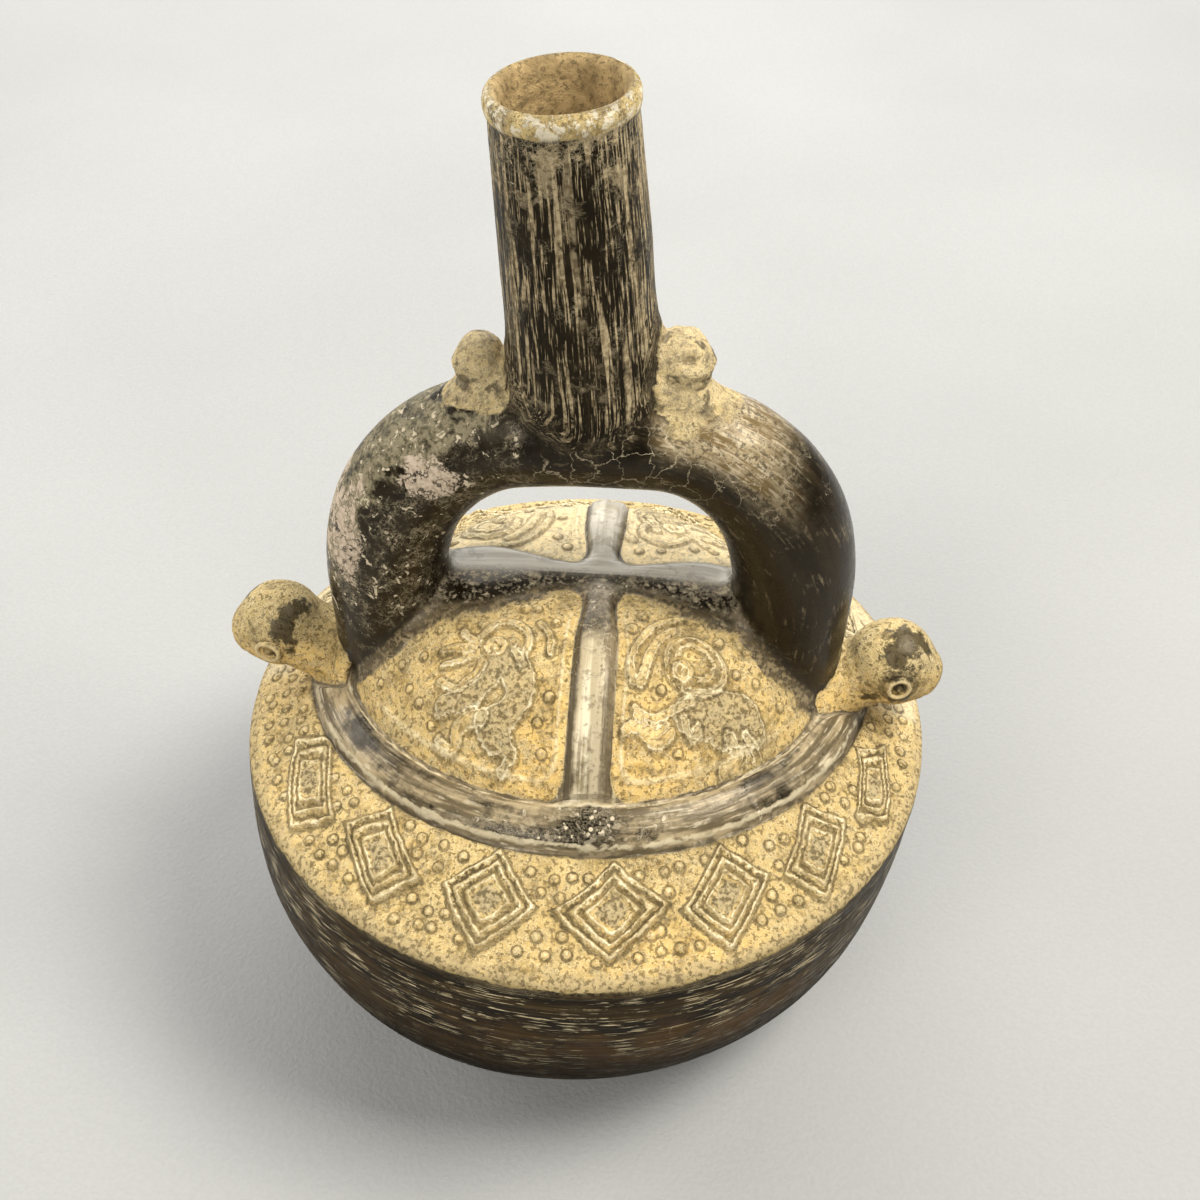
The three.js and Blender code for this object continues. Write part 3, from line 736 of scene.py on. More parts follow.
def nub_shape(s, k):
    def shape(D):
        fwd = np.array([s * 0.80, -0.45, -0.25])
        fwd = fwd / np.linalg.norm(fwd)
        c = D @ fwd
        side = np.cross(fwd, [0, 0, 1.0])
        side /= np.linalg.norm(side)
        a = D @ side
        upv = np.cross(side, fwd)
        u = D @ upv
        r = k * (1 + 0.10 * np.exp(-((1 - c) / 0.22) ** 2))
        for e in (-1, 1):
            r = r - k * 0.17 * np.exp(-(((a - e * 0.42) / 0.19) ** 2 + ((u - 0.10) / 0.15) ** 2)) * (c > 0)
        r = r + k * 0.07 * np.exp(-((u - 0.33) / 0.1) ** 2) * smooth(0.0, 0.5, c)
        r = r - k * 0.10 * np.exp(-((u + 0.36) / 0.07) ** 2) * smooth(0.5, 0.8, c)
        P = D * r[:, None]
        return P * (1 + 0.045 * vnoise(*(P + 30 * s).T, 3.5, 61) + 0.02 * vnoise(*(P + 30 * s).T, 1.4, 62))[:, None]
    return shape


def nubs(parts):
    for s, (c, k) in NUBS.items():
        parts.append(ball(f"nub{s}", c, nub_shape(s, k), 40, 28, NUB))

        def chest(D, s=s, k=k):
            P = D * np.array([k * 1.62, k * 1.28, k * 0.86])
            P = P * (1 + 0.06 * vnoise(*(P + 70 * s).T, 4, 63))[:, None]
            t = 0.5 * s
            return np.c_[P[:, 0] * math.cos(t) + P[:, 2] * math.sin(t), P[:, 1], -P[:, 0] * math.sin(t) + P[:, 2] * math.cos(t)]
        parts.append(ball(f"chest{s}", c + np.array([-s * 0.6, 0.0, -0.86 * k]), chest, 36, 22, NUB))


def build():
    ob = body()
    P, t = hoop_points(0.42, 116)
    seat = SEAT_R * np.exp(-((P[:, 0] / 16) ** 4))
    parts = [sweep("tube", P, tube_radius(P), seat, 64, TUBE, 0.35)]
    L = SPOUT_LEN
    prof = [(0, -1.5), (13.4, -1.5), (13.9, 1.0), (14.5, 4.0), (15.0, 7.5), (15.05, 11.0), (14.85, 15.0)]
    for h in np.arange(19, L - 10.5, 3.2):
        prof.append((14.6 - 1.5 * (h - 19) / (L - 30), h))
    prof += [(13.06, L - 8.6), (12.98, L - 7.0), (12.92, L - 5.8), (12.9, L - 5.0), (12.98, L - 4.5), (13.2, L - 3.9), (13.38, L - 3.2), (13.46, L - 2.4),
             (13.42, L - 1.6), (13.2, L - 0.85), (12.8, L - 0.3), (12.2, L), (11.5, L - 0.12), (0, L - 0.12)]
    parts.append(lathe("spout", prof, 76, SPOUT, 0.2))
    heads(parts)
    nubs(parts)
    for p in parts:
        boolean(ob, p, "UNION")
        print("joined", len(ob.data.polygons))
    return ob


ob = build()
print("outside", len(ob.data.polygons), len(ob.data.vertices))


def plain_top(x, y):
    """The top without its relief, for the inside of the wall."""
    r = np.hypot(x, y)
    th = np.arctan2(x, -y)
    rin, rout = lens_r(th, LENS_IN), lens_r(th, LENS_OUT)
    s = LENS_OUT - np.hypot(x, np.abs(y) + LENS_C)
    zb, zo = 0.5 * (R - rin) + 0.015 * R, 0.5 * (R - rout)
    sig = np.clip((s - 7.6) / (0.59 * R), 0, 1)
    zd = zb + (CREST - zb) * (1 - (1 - sig) ** 4)
    return np.where(s < 0, 0.5 * (R - r), np.where(s < 7.6, zo + (zb - zo) * np.clip(s / 7.6, 0, 1), zd))


def hollow():
    n = 64
    a = np.arange(n) / n * 2 * math.pi
    verts, faces = [np.array([0, 0, CREST - 6.2])], []
    prev = [0]
    rows = [(k, 0) for k in (8, 18, 28, 38, 48, 56, 63, 68.5)]
    for r, _ in rows:
        x, y = r * np.cos(a), r * np.sin(a)
        z = plain_top(x, y) - (6.0 if r < 60 else 6.6)
        first = len(verts)
        verts += list(np.c_[x, y, z])
        cur = list(range(first, first + n))
        faces += [(cur[(i + 1) % n], cur[i], prev[0]) for i in range(n)] if len(prev) == 1 else loop_faces(prev, cur)
        prev = cur
    for k in range(1, 11):
        b = math.pi / 2 * k / 10.6
        r = (R - 5.3) * math.cos(b) ** (2 / BOWL_P)
        d = math.sin(b) ** (2 / BOWL_P)
        z = -6.0 - (ZS - 6.0 - 5.0) * d
        first = len(verts)
        verts += list(np.c_[FOOT_DX * d + r * np.cos(a), r * np.sin(a), np.full(n, z)])
        cur = list(range(first, first + n))
        faces += loop_faces(prev, cur)
        prev = cur
    verts.append(np.array([FOOT_DX, 0, -ZS + 5.0]))
    faces += [(prev[i], prev[(i + 1) % n], len(verts) - 1) for i in range(n)]
    return make("hollow", np.array(verts), faces, INSIDE)


P, _ = hoop_points(0.62, 54)
inside = hollow()
boolean(inside, sweep("bore", P, np.full(len(P), 8.0), np.zeros(len(P)), 20, INSIDE), "UNION")
L = SPOUT_LEN
bore = [(0, -3.0), (6.8, -3.0), (8.6, 4.0), (10.1, 14.0)]
bore += [(10.1 + 0.5 * k / 12, 14 + (L - 20) * k / 12) for k in range(1, 13)]
bore += [(10.75, L - 3.4), (10.9, L - 2.0), (11.15, L - 1.1), (11.6, L - 0.45), (12.2, L - 0.02), (12.9, L + 1.5), (0, L + 1.5)]
boolean(inside, lathe("spout_bore", bore, 64, INSIDE, 0.22, 71), "UNION")
boolean(ob, inside, "DIFFERENCE")
me = ob.data
print("hollowed", len(me.polygons), len(me.vertices), "triangles", sum(len(p.vertices) - 2 for p in me.polygons))

# ------------------------------------------------------------------------------------------
# Blend the luted joints, then read every vertex's place for the material
# ------------------------------------------------------------------------------------------
nv, ne, nf = len(me.vertices), len(me.edges), len(me.polygons)
co = np.empty(nv * 3)
me.vertices.foreach_get("co", co)
co = co.reshape(-1, 3)
V = co * 1000 - np.array(SHIFT)
E = np.empty(ne * 2, np.int64)
me.edges.foreach_get("vertices", E)
E = E.reshape(-1, 2)
kind_f = np.empty(nf, np.int32)
me.polygons.foreach_get("material_index", kind_f)
loops = np.empty(len(me.loops), np.int64)
me.loops.foreach_get("vertex_index", loops)
ls = np.empty(nf, np.int64)
me.polygons.foreach_get("loop_start", ls)
lt = np.empty(nf, np.int64)
me.polygons.foreach_get("loop_total", lt)
loop_kind = np.repeat(kind_f, lt)
share = np.zeros((nv, 7))
np.add.at(share, (loops, loop_kind), 1.0)
share /= np.maximum(share.sum(1, keepdims=True), 1)
deg = np.bincount(E.ravel(), minlength=nv).astype(float)


def spread(A, w=0.5, n=1):
    """Laplacian smoothing of a per-vertex quantity."""
    for _ in range(n):
        acc = np.zeros_like(A)
        np.add.at(acc, E[:, 0], A[E[:, 1]])
        np.add.at(acc, E[:, 1], A[E[:, 0]])
        m = acc / (deg[:, None] if A.ndim > 1 else deg)
        ww = w[:, None] if (isinstance(w, np.ndarray) and A.ndim > 1) else w
        A = A + ww * (m - A)
    return A


outer = [TOP, BOWL, TUBE, SPOUT, HEAD, NUB]
groups = np.c_[share[:, TOP] + share[:, BOWL], share[:, TUBE], share[:, SPOUT], share[:, HEAD], share[:, NUB]]
seam = ((groups > 0).sum(1) > 1) & (share[:, INSIDE] == 0)
reach = seam.astype(float)
soft_seam = seam & (share[:, NUB] > 0)
for fade in (0.9, 0.75, 0.6, 0.42, 0.25):
    nb = np.zeros(nv)
    np.maximum.at(nb, E[:, 0], reach[E[:, 1]])
    np.maximum.at(nb, E[:, 1], reach[E[:, 0]])
    reach = np.maximum(reach, np.where(nb > 0, fade * (nb > 0), 0))
reach[share[:, INSIDE] > 0] = 0
# eyes keep their edge
eye = np.zeros(nv, bool)
for s, c in HEADS.items():
    d = np.abs(V - c)
    eye |= (np.linalg.norm(V - c, axis=1) < 12.5) & (d[:, 1] > 6.0)
reach[eye] *= 0.25
V = spread(V, 0.55 * reach, 9)
wide_reach = soft_seam.astype(float)
for fade in (1.0, 0.95, 0.85, 0.7, 0.5, 0.3):
    nb = np.zeros(nv)
    np.maximum.at(nb, E[:, 0], wide_reach[E[:, 1]])
    np.maximum.at(nb, E[:, 1], wide_reach[E[:, 0]])
    wide_reach = np.maximum(wide_reach, np.where(nb > 0, fade, 0))
wide_reach[share[:, INSIDE] > 0] = 0
V = spread(V, 0.6 * wide_reach, 22)
# the small heads' eyes: a slit under a brow, on both sides
PITS = []
for s_, off, deep in ((1, (2.1, -5.1, 3.4), 1.2), (1, (2.1, 4.6, 2.6), 1.0), (-1, (-0.5, -3.7, 3.5), 0.45), (-1, (-0.8, 3.7, 2.4), 0.45)):
    PITS.append((NUBS[s_][0] + np.array(off), NUBS[s_][0], s_, deep))


def slit(e, c, s_):
    """Distances from a slit eye: from its line, and above it along the head."""
    n = (e - c) / np.linalg.norm(e - c)
    t = np.cross(n, [0, 0, 1.0])
    t /= np.linalg.norm(t)
    u = np.cross(t, n)
    u = u * (1 if u[2] > 0 else -1)
    q = V - e
    a, b, d = q @ t, q @ u, q @ n
    b = b + 0.16 * a * a * 0.35
    return np.sqrt((a / 2.1) ** 2 + b ** 2 + (d * 0.7) ** 2), b, a


for e, c, s_, deep in PITS:
    d, b, a = slit(e, c, s_)
    n = V - c
    n /= np.linalg.norm(n, axis=1, keepdims=True)
    brow = gauss(b - 1.35, 0.6) * gauss(a, 3.0) * (np.linalg.norm(V - e, axis=1) < 5)
    V = V + n * (0.7 * brow - deep * gauss(d, 0.75))[:, None]
me.vertices.foreach_set("co", place(V).ravel())
me.update()

soft = spread(share.copy(), 0.5, 3)
X, Y, Z = V.T
zt, M = top(X, Y)
on_top = soft[:, TOP]
att = {}
rad = np.hypot(X, Y)
axis_x = spout_axis(Z)
sp_u = CROWN + (Z - CROWN) * math.cos(LEAN) - X * math.sin(LEAN)
in_spout = np.clip(soft[:, SPOUT], 0, 1)
def blob(c, w):
    d = (V - np.array(c)) / np.array(w)
    return np.exp(-(d ** 2).sum(1))


foot = M["foot"]
att["ground"] = on_top * np.maximum(M["ring"], M["panel"]) * (1 - M["band"]) * (1 - foot)
att["ochre"] = on_top * M["panel"] * (0.55 + 0.6 * blob((-8, -46, 27), (8, 14, 20)) + 0.6 * blob((-50, -8, 16), (9, 9, 12)) + 0.4 * blob((14, -40, 28), (12, 12, 20))) + soft[:, HEAD] * 0.9 * smooth(5, -5, Z - np.where(X < 0, HEADS[-1][2], HEADS[1][2])) + 0.08 * soft[:, NUB] + on_top * M["ring"] * (0.25 + 0.6 * blob((24, -66, 5), (18, 7, 9)))
att["band"] = on_top * np.maximum(np.maximum(M["band"], foot * M["panel"]), M["trans"])
att["line"] = on_top * M["line"] * (1 - 0.6 * M["band"])
att["groove"] = on_top * M["groove"] * (1 - foot)
att["stipple"] = on_top * M["stipple"]
att["edge"] = np.clip(on_top * M["edge"] + soft[:, BOWL] * smooth(-1.6, -0.3, Z), 0, 1)
att["rib"] = on_top * M["rib"]
att["arc"] = on_top * M["arc"]
att["back"] = on_top * M["back"]
# low: the bowl towards its foot, which the material darkens as painted shade
att["low"] = soft[:, BOWL] * smooth(-6, -42, Z)
att["wash"] = on_top * M["wash"]
att["side"] = in_spout * smooth(0.35, 0.95, np.abs(X - axis_x) / 13.5)
att["bowl"] = soft[:, BOWL]
att["tube"] = soft[:, TUBE]
att["spout"] = in_spout
att["lip"] = in_spout * smooth(SPOUT_TOP - 4.6, SPOUT_TOP - 3.2, sp_u)
att["collar"] = in_spout * (smooth(SPOUT_TOP - 22, SPOUT_TOP - 6, sp_u) + 0.25 * smooth(CROWN + 34, CROWN + 14, sp_u))
att["head"] = soft[:, HEAD]
near_nub = np.zeros(nv)
for s_, (c, k) in NUBS.items():
    d = np.linalg.norm((V - (c + np.array([s_ * 1.5, 0, -0.5 * k]))) / np.array([2.35 * k, 2.1 * k, 1.75 * k]), axis=1)
    near_nub = np.maximum(near_nub, smooth(1.12, 0.60, d + 0.22 * vnoise(*V.T, 5, 75)))
att["nub"] = np.maximum(soft[:, NUB], 0.92 * near_nub * (soft[:, TUBE] + 0.55 * soft[:, SPOUT]))
att["inner"] = soft[:, INSIDE]
# how far round the stirrup's tube: outward from the arch
arch, _ = hoop_points(0.42, 160)
rel_out = np.zeros(nv)
on_tube = np.nonzero(soft[:, TUBE] > 0.01)[0]
for block in np.array_split(on_tube, max(1, len(on_tube) // 4000)):
    q = V[block][:, None, :] - arch[None, :, :]
    k = np.argmin((q ** 2).sum(2), axis=1)
    rel = q[np.arange(len(block)), k]
    o = arch[k] - np.array([0, 0, ARCH_ZB])
    o /= np.maximum(np.linalg.norm(o, axis=1, keepdims=True), 1e-6)
    rel_out[block] = (rel * o).sum(1) / np.maximum(np.linalg.norm(rel, axis=1), 1e-6)
tube = soft[:, TUBE]
att["rub"] = tube * smooth(-0.25, 0.7, rel_out + 0.12 * vnoise(*V.T, 9, 81)) * smooth(9, 17, X) * (1 - smooth(26, 50, X))
att["dust"] = tube * smooth(-0.1, 0.75, rel_out) * smooth(-8, -22, X) * smooth(36, 52, Z)
# where the burnish is rubbed away, where it fired brown, where it is speckled, where it is crazed
att["wear"] = np.clip(1.05 * blob((-50, -10, 54), (7, 14, 12)) + 1.0 * blob((-29, -13, 72), (12, 16, 6)) + 0.4 * blob((-50, 0, 68), (10, 16, 10)), 0, 1) * tube
att["brown"] = np.clip(1.1 * blob((34, -58, -26), (24, 22, 9)) * soft[:, BOWL] + 0.45 * blob((-10, -70, -25), (46, 20, 12)) * soft[:, BOWL], 0, 1)
att["speck"] = np.clip(on_top * M["band"] * (0.95 * blob((2, -49, 14), (21, 7, 10)) + 0.55 * blob((4, -10, 38), (7, 9, 10)) + 0.22) + tube * (0.12 + 0.6 * smooth(0, -20, X) * smooth(24, 44, Z) + 0.3 * smooth(44, 30, Z) * (X < 0)) + 0.25 * soft[:, BOWL] + 0.3 * in_spout, 0, 1)
att["craze"] = np.clip(tube * (1.0 * blob((4, -12, 78), (14, 14, 9)) + 0.85 * blob((24, -6, 79), (12, 14, 10)) + 0.45 * blob((40, -4, 66), (9, 14, 12))) + 0.8 * on_top * M["rib"] * blob((3, -20, 36), (8, 12, 12)), 0, 1)
att["dark"] = np.clip(on_top * M["band"] * (0.62 * blob((-45, -24, 12), (10, 10, 12)) + 0.52 * blob((-30, -38, 12), (12, 8, 12)) + 1.0 * blob((2, -50, 12), (16, 6, 12)) + 0.5 * blob((36, -33, 12), (16, 12, 12)) + 0.35 * blob((-16, -46, 12), (6, 5, 12))), 0, 1)
att["hood"] = np.clip(soft[:, HEAD] * (blob(HEADS[-1] + np.array([2.5, -5, 5.5]), (5.5, 5, 5)) + blob(HEADS[1] + np.array([1.5, -4, 6.5]), (6, 5, 5)) + 0.7 * blob(HEADS[1] + np.array([-1, -8, -2]), (4, 4, 4)) + 0.8 * blob(HEADS[-1] + np.array([-1.5, 5, 4]), (7, 5, 6))), 0, 1)
eye_d = np.full(nv, 8.0)
for s_, c in HEADS.items():
    for side in (-1, 1):
        e = c + np.array([s_ * 1.7, side * 9.0, (0.2 if s_ < 0 else 1.6) - 1.2])
        de = np.linalg.norm(V - e, axis=1) / (2.5 if s_ < 0 else 2.25)
        eye_d = np.minimum(eye_d, np.where((de > 1.36) & (s_ < 0), 8.0, de))
far = {"d_eye": np.where(soft[:, HEAD] > 0.3, eye_d, 8.0)}
pit = np.full(nv, 6.0)
for e, c, s_, deep in PITS:
    pit = np.minimum(pit, slit(e, c, s_)[0] + (0.0 if deep > 0.6 else 0.45))
far["d_pit"] = pit
for k in ("d_loz", "d_line", "d_body", "d_dot", "d_pan", "d_lens", "d_rib"):
    out_value = {"d_loz": -0.5, "d_line": 2.5, "d_body": 2.5, "d_dot": 3.0, "d_pan": -4.0, "d_lens": -4.0, "d_rib": 8.0}[k]
    far[k] = np.where(on_top > 0.35, M[k], out_value)
for k in att:
    a = me.attributes.new(k, "FLOAT", "POINT")
    a.data.foreach_set("value", np.clip(att[k], 0, 1).astype(np.float32))
for k in far:
    a = me.attributes.new(k, "FLOAT", "POINT")
    a.data.foreach_set("value", far[k].astype(np.float32))
# straightened coordinates: streaks run along the part they are on
phi = np.arctan2(Y, X - axis_x)
flow_spout = np.c_[np.cos(phi) * 14, np.sin(phi) * 14, Z * 0.05]
flow_bowl = np.c_[X * 0.045, Y * 0.045, Z]
ang = np.arctan2(Z - ARCH_ZB, X)
flow_tube = np.c_[(np.hypot(X, Z - ARCH_ZB) - 43), Y, ang * 43 * 0.12]
on_arc = (M["d_lens"] > -1.5) & (M["d_lens"] < 8.4)
on_rib = ~on_arc & (np.abs(X - rib_centre(Y)) < 7.5) & (np.abs(Y) > 7)
flow_top = np.where(on_arc[:, None], np.c_[M["d_lens"] * 1.0, np.arctan2(Y, X) * 60 * 0.07, 0 * X],
                    np.where(on_rib[:, None], np.c_[X, Y * 0.05, 0 * X + 40], np.c_[X * 0.08, Y, 0 * X + 80]))
fl = (soft[:, [SPOUT]] + 0 * V) * flow_spout + soft[:, [BOWL]] * flow_bowl + soft[:, [TUBE]] * flow_tube + soft[:, [TOP]] * flow_top + (soft[:, [HEAD]] + soft[:, [NUB]] + soft[:, [INSIDE]]) * V
a = me.attributes.new("flow", "FLOAT_VECTOR", "POINT")
a.data.foreach_set("vector", fl.astype(np.float32).ravel())
for p in me.polygons:
    p.use_smooth = True

# ------------------------------------------------------------------------------------------
# Fired clay: burnished black, soil in the relief, wear, crackle and specks
# ------------------------------------------------------------------------------------------


class Shade:
    def __init__(self, name):
        self.mat = bpy.data.materials.new(name)
        self.mat.use_nodes = True
        self.nt = self.mat.node_tree
        self.n = self.nt.nodes
        self.bsdf = self.n["Principled BSDF"]
        self.coord = self.n.new("ShaderNodeTexCoord").outputs["Object"]

    def put(self, socket, v):
        if isinstance(v, bpy.types.NodeSocket):
            self.nt.links.new(v, socket)
        elif v is not None:
            socket.default_value = v

    def attr(self, name, vec=False):
        a = self.n.new("ShaderNodeAttribute")
        a.attribute_type = "GEOMETRY"
        a.attribute_name = name
        return a.outputs["Vector" if vec else "Fac"]

    def math(self, op, a, b=None, c=None, clamp=False):
        m = self.n.new("ShaderNodeMath")
        m.operation = op
        m.use_clamp = clamp
        for k, v in enumerate((a, b, c)):
            if v is not None:
                self.put(m.inputs[k], v)
        return m.outputs[0]

    def mul(self, *v):
        out = v[0]
        for k in v[1:]:
            out = self.math("MULTIPLY", out, k)
        return out

    def add(self, a, b, clamp=False):
        return self.math("ADD", a, b, clamp=clamp)

    def sub(self, a, b, clamp=False):
        return self.math("SUBTRACT", a, b, clamp=clamp)

    def vmul(self, v, s):
        m = self.n.new("ShaderNodeVectorMath")
        m.operation = "MULTIPLY"
        self.put(m.inputs[0], v)
        m.inputs[1].default_value = s
        return m.outputs[0]

    def noise(self, vec, scale, detail=3.0, rough=0.55, dist=0.0):
        t = self.n.new("ShaderNodeTexNoise")
        self.put(t.inputs["Vector"], vec)
        t.inputs["Scale"].default_value = scale
        t.inputs["Detail"].default_value = detail
        t.inputs["Roughness"].default_value = rough
        t.inputs["Distortion"].default_value = dist
        return t.outputs["Fac"]

    def voronoi(self, vec, scale, feature="F1", rand=1.0):
        t = self.n.new("ShaderNodeTexVoronoi")
        t.feature = feature
        self.put(t.inputs["Vector"], vec)
        t.inputs["Scale"].default_value = scale
        t.inputs["Randomness"].default_value = rand
        return t.outputs["Distance"]

    def step(self, v, lo, hi):
        m = self.n.new("ShaderNodeMapRange")
        m.interpolation_type = "SMOOTHSTEP"
        self.put(m.inputs["Value"], v)
        m.inputs["From Min"].default_value = lo
        m.inputs["From Max"].default_value = hi
        return m.outputs["Result"]

    def mix(self, fac, a, b):
        m = self.n.new("ShaderNodeMix")
        m.data_type = "RGBA"
        self.put(m.inputs["Factor"], fac)
        self.put(m.inputs["A"], a if isinstance(a, bpy.types.NodeSocket) else (*a, 1.0))
        self.put(m.inputs["B"], b if isinstance(b, bpy.types.NodeSocket) else (*b, 1.0))
        # a colour mix has its colour sockets last
        for s, v in ((m.inputs[6], a), (m.inputs[7], b)):
            self.put(s, v if isinstance(v, bpy.types.NodeSocket) else (*v, 1.0))
        return m.outputs[2]

    def val(self, fac, a, b):
        m = self.n.new("ShaderNodeMix")
        m.data_type = "FLOAT"
        self.put(m.inputs[0], fac)
        self.put(m.inputs[2], a)
        self.put(m.inputs[3], b)
        return m.outputs[0]


def clay_material():
    s = Shade("blackware")
    co, flow = s.coord, s.attr("flow", True)
    flow = s.vmul(flow, (0.001, 0.001, 0.001))
    A = {k: s.attr(k) for k in ("ground", "ochre", "band", "line", "groove", "stipple", "edge", "rib", "arc", "bowl", "tube", "spout", "lip", "collar",
                                "head", "nub", "inner", "rub", "dust", "wear", "brown", "speck", "craze", "dark", "back", "low", "hood", "side", "wash")}
    D = {k: s.attr("d_" + k) for k in ("loz", "line", "body", "dot", "eye", "pan", "lens", "rib", "pit")}
    mx = lambda *v: s.math("MAXIMUM", v[0], v[1]) if len(v) == 2 else s.math("MAXIMUM", v[0], mx(*v[1:]))
    inv = lambda v: s.sub(1.0, v)

    def near(v, c, tight, loose):
        """1 where v is within tight of c, 0 beyond loose."""
        return s.step(s.math("ABSOLUTE", s.sub(v, c)), loose, tight)

    # noises; the comment gives the size of their features
    big = s.noise(co, 28, 2)                 # 35 mm
    mid = s.noise(co, 95, 4, 0.6)            # 10 mm
    small = s.noise(co, 330, 5, 0.62)        # 3 mm
    fine = s.noise(co, 1000, 4, 0.65)        # 1 mm
    grain = s.noise(co, 3000, 2, 0.6)        # 0.3 mm
    patch = s.noise(co, 170, 6, 0.68, 0.4)   # 6 mm
    worm = near(small, 0.5, 0.006, 0.02)     # wandering threads
    worm2 = near(fine, 0.5, 0.012, 0.04)
    st1 = s.noise(flow, 240, 4, 0.62)
    st2 = s.noise(flow, 620, 3, 0.6)
    st3 = s.noise(flow, 1500, 2, 0.5)
    st4 = s.noise(flow, 2900, 2, 0.55)
    # ---- relief edges -------------------------------------------------------------------------
    wob = s.sub(small, 0.5)
    wob2 = s.sub(fine, 0.5)
    lz = s.add(D["loz"], s.add(s.mul(wob, 0.26), s.mul(wob2, 0.20)))
    ln = s.add(s.add(D["line"], 0.12), s.add(s.mul(wob, 1.3), s.mul(wob2, 0.9)))
    bd = s.add(D["body"], s.add(s.mul(wob, 2.0), s.mul(wob2, 1.1)))
    dt = s.add(D["dot"], s.mul(wob2, 0.7))
    loz_line = mx(near(lz, 0.0, 0.015, 0.065), near(lz, 0.265, 0.015, 0.06), near(lz, 0.52, 0.015, 0.055))
    loz_dark = mx(s.mul(near(lz, -0.13, 0.02, 0.07), 0.8), near(lz, 0.125, 0.02, 0.065), s.mul(near(lz, 0.39, 0.025, 0.07), 0.8))
    core = s.step(lz, 0.60, 0.68)
    thin = mx(near(ln, 0.06, 0.05, 0.26), s.mul(s.step(ln, -0.1, -0.5), 0.25))
    thin_dark = near(ln, 0.62, 0.08, 0.4)
    body = s.step(bd, 0.25, -0.2)
    body_line = near(bd, -0.1, 0.08, 0.32)
    body_dark = near(bd, 0.45, 0.10, 0.45)
    dot = s.step(dt, 0.85, 0.35)
    dot_dark = near(dt, 1.22, 0.10, 0.36)
    pan_line = s.mul(near(s.add(D["pan"], s.mul(wob, 1.1)), 2.3, 0.2, 0.6), A["line"], 0.8)
    # ridge: crests of the raised lines and dots, given a painted highlight; hollow: the grooves beside them and round
    # each dot's foot, given a painted shade
    ridge = s.mul(mx(loz_line, thin, body_line, pan_line, s.mul(dot, 0.4)), A["ground"])
    hollow = s.mul(mx(loz_dark, s.mul(thin_dark, 0.7), s.mul(body_dark, 0.65), s.mul(dot_dark, 0.85)), A["ground"])
    rough_clay = s.mul(mx(core, s.mul(body, 0.85)), A["ground"])
    de = s.add(D["eye"], s.mul(wob2, 0.25))
    eye = near(de, 1.0, 0.13, 0.27)
    eye_dark = mx(s.mul(s.step(de, 0.62, 0.40), 0.7), near(de, 1.66, 0.20, 0.42))
    # ---- burnished black -----------------------------------------------------------------------
    black = s.mix(s.step(big, 0.35, 0.7), (0.0050, 0.0036, 0.0018), (0.0115, 0.0080, 0.0036))
    black = s.mix(s.mul(s.step(small, 0.48, 0.75), 0.4), black, (0.042, 0.029, 0.014))
    black = s.mix(s.mul(A["brown"], s.step(s.add(mid, s.mul(A["brown"], 0.12)), 0.44, 0.66)), black, (0.16, 0.083, 0.028))
    black = s.mix(s.mul(A["tube"], s.step(st1, 0.44, 0.62), 0.45), black, (0.026, 0.017, 0.008))
    black = s.mix(s.mul(A["tube"], s.step(st3, 0.57, 0.62), s.step(patch, 0.46, 0.58), 0.5), black, (0.15, 0.115, 0.065))
    # bowl: the burnisher's level strokes, dulled and scratched
    black = s.mix(s.mul(A["bowl"], s.step(st1, 0.42, 0.64), 0.55), black, (0.066, 0.039, 0.011))
    black = s.mix(s.mul(A["bowl"], s.step(st2, 0.50, 0.62), s.val(s.step(mid, 0.36, 0.6), 0.1, 0.6)), black, (0.105, 0.066, 0.022))
    scr = s.mul(A["bowl"], s.step(st3, 0.592, 0.632), s.step(patch, 0.48, 0.59))
    black = s.mix(s.mul(scr, 0.7), black, (0.46, 0.38, 0.22))
    scr2 = s.mul(A["bowl"], s.step(st4, 0.595, 0.615), s.step(mid, 0.53, 0.43))
    black = s.mix(s.mul(scr2, 0.95), black, (0.74, 0.62, 0.38))
    # painted shade: the bowl is darkened towards its foot, where it stood in shadow
    black = s.mix(s.mul(A["low"], s.val(s.step(patch, 0.35, 0.6), 0.98, 0.85)), black, (0.010, 0.0065, 0.0025))
    # bands of the lid: satin grey-brown, darker in patches, the rib cream, partly rubbed clay and partly a painted
    # reflection
    satin = s.mix(s.step(st2, 0.38, 0.60), (0.40, 0.315, 0.185), (0.125, 0.095, 0.052))
    satin = s.mix(s.mul(s.step(st3, 0.55, 0.61), s.step(patch, 0.40, 0.56), 0.65), satin, (0.68, 0.59, 0.41))
    satin = s.mix(s.mul(s.step(small, 0.50, 0.62), 0.5), satin, (0.085, 0.065, 0.036))
    cream = s.mix(s.step(st2, 0.36, 0.60), (0.74, 0.66, 0.47), (0.46, 0.38, 0.24))
    front = inv(A["back"])
    rub_amt = s.add(s.mul(A["arc"], 0.95), s.mul(A["rib"], 0.7))
    dk = s.add(s.mul(patch, 0.5), s.add(s.mul(A["dark"], 0.34), s.mul(st1, 0.55)))
    rub_amt = s.mul(rub_amt, s.step(dk, 0.78, 0.62))
    col = s.mix(rub_amt, black, satin)
    lens = s.add(D["lens"], s.mul(wob, 1.6))
    arc_line = s.mul(mx(near(lens, 0.55, 0.12, 0.38), near(lens, 7.2, 0.12, 0.38)), A["arc"], s.step(patch, 0.38, 0.5))
    col = s.mix(s.mul(arc_line, 0.7), col, (0.66, 0.57, 0.38))
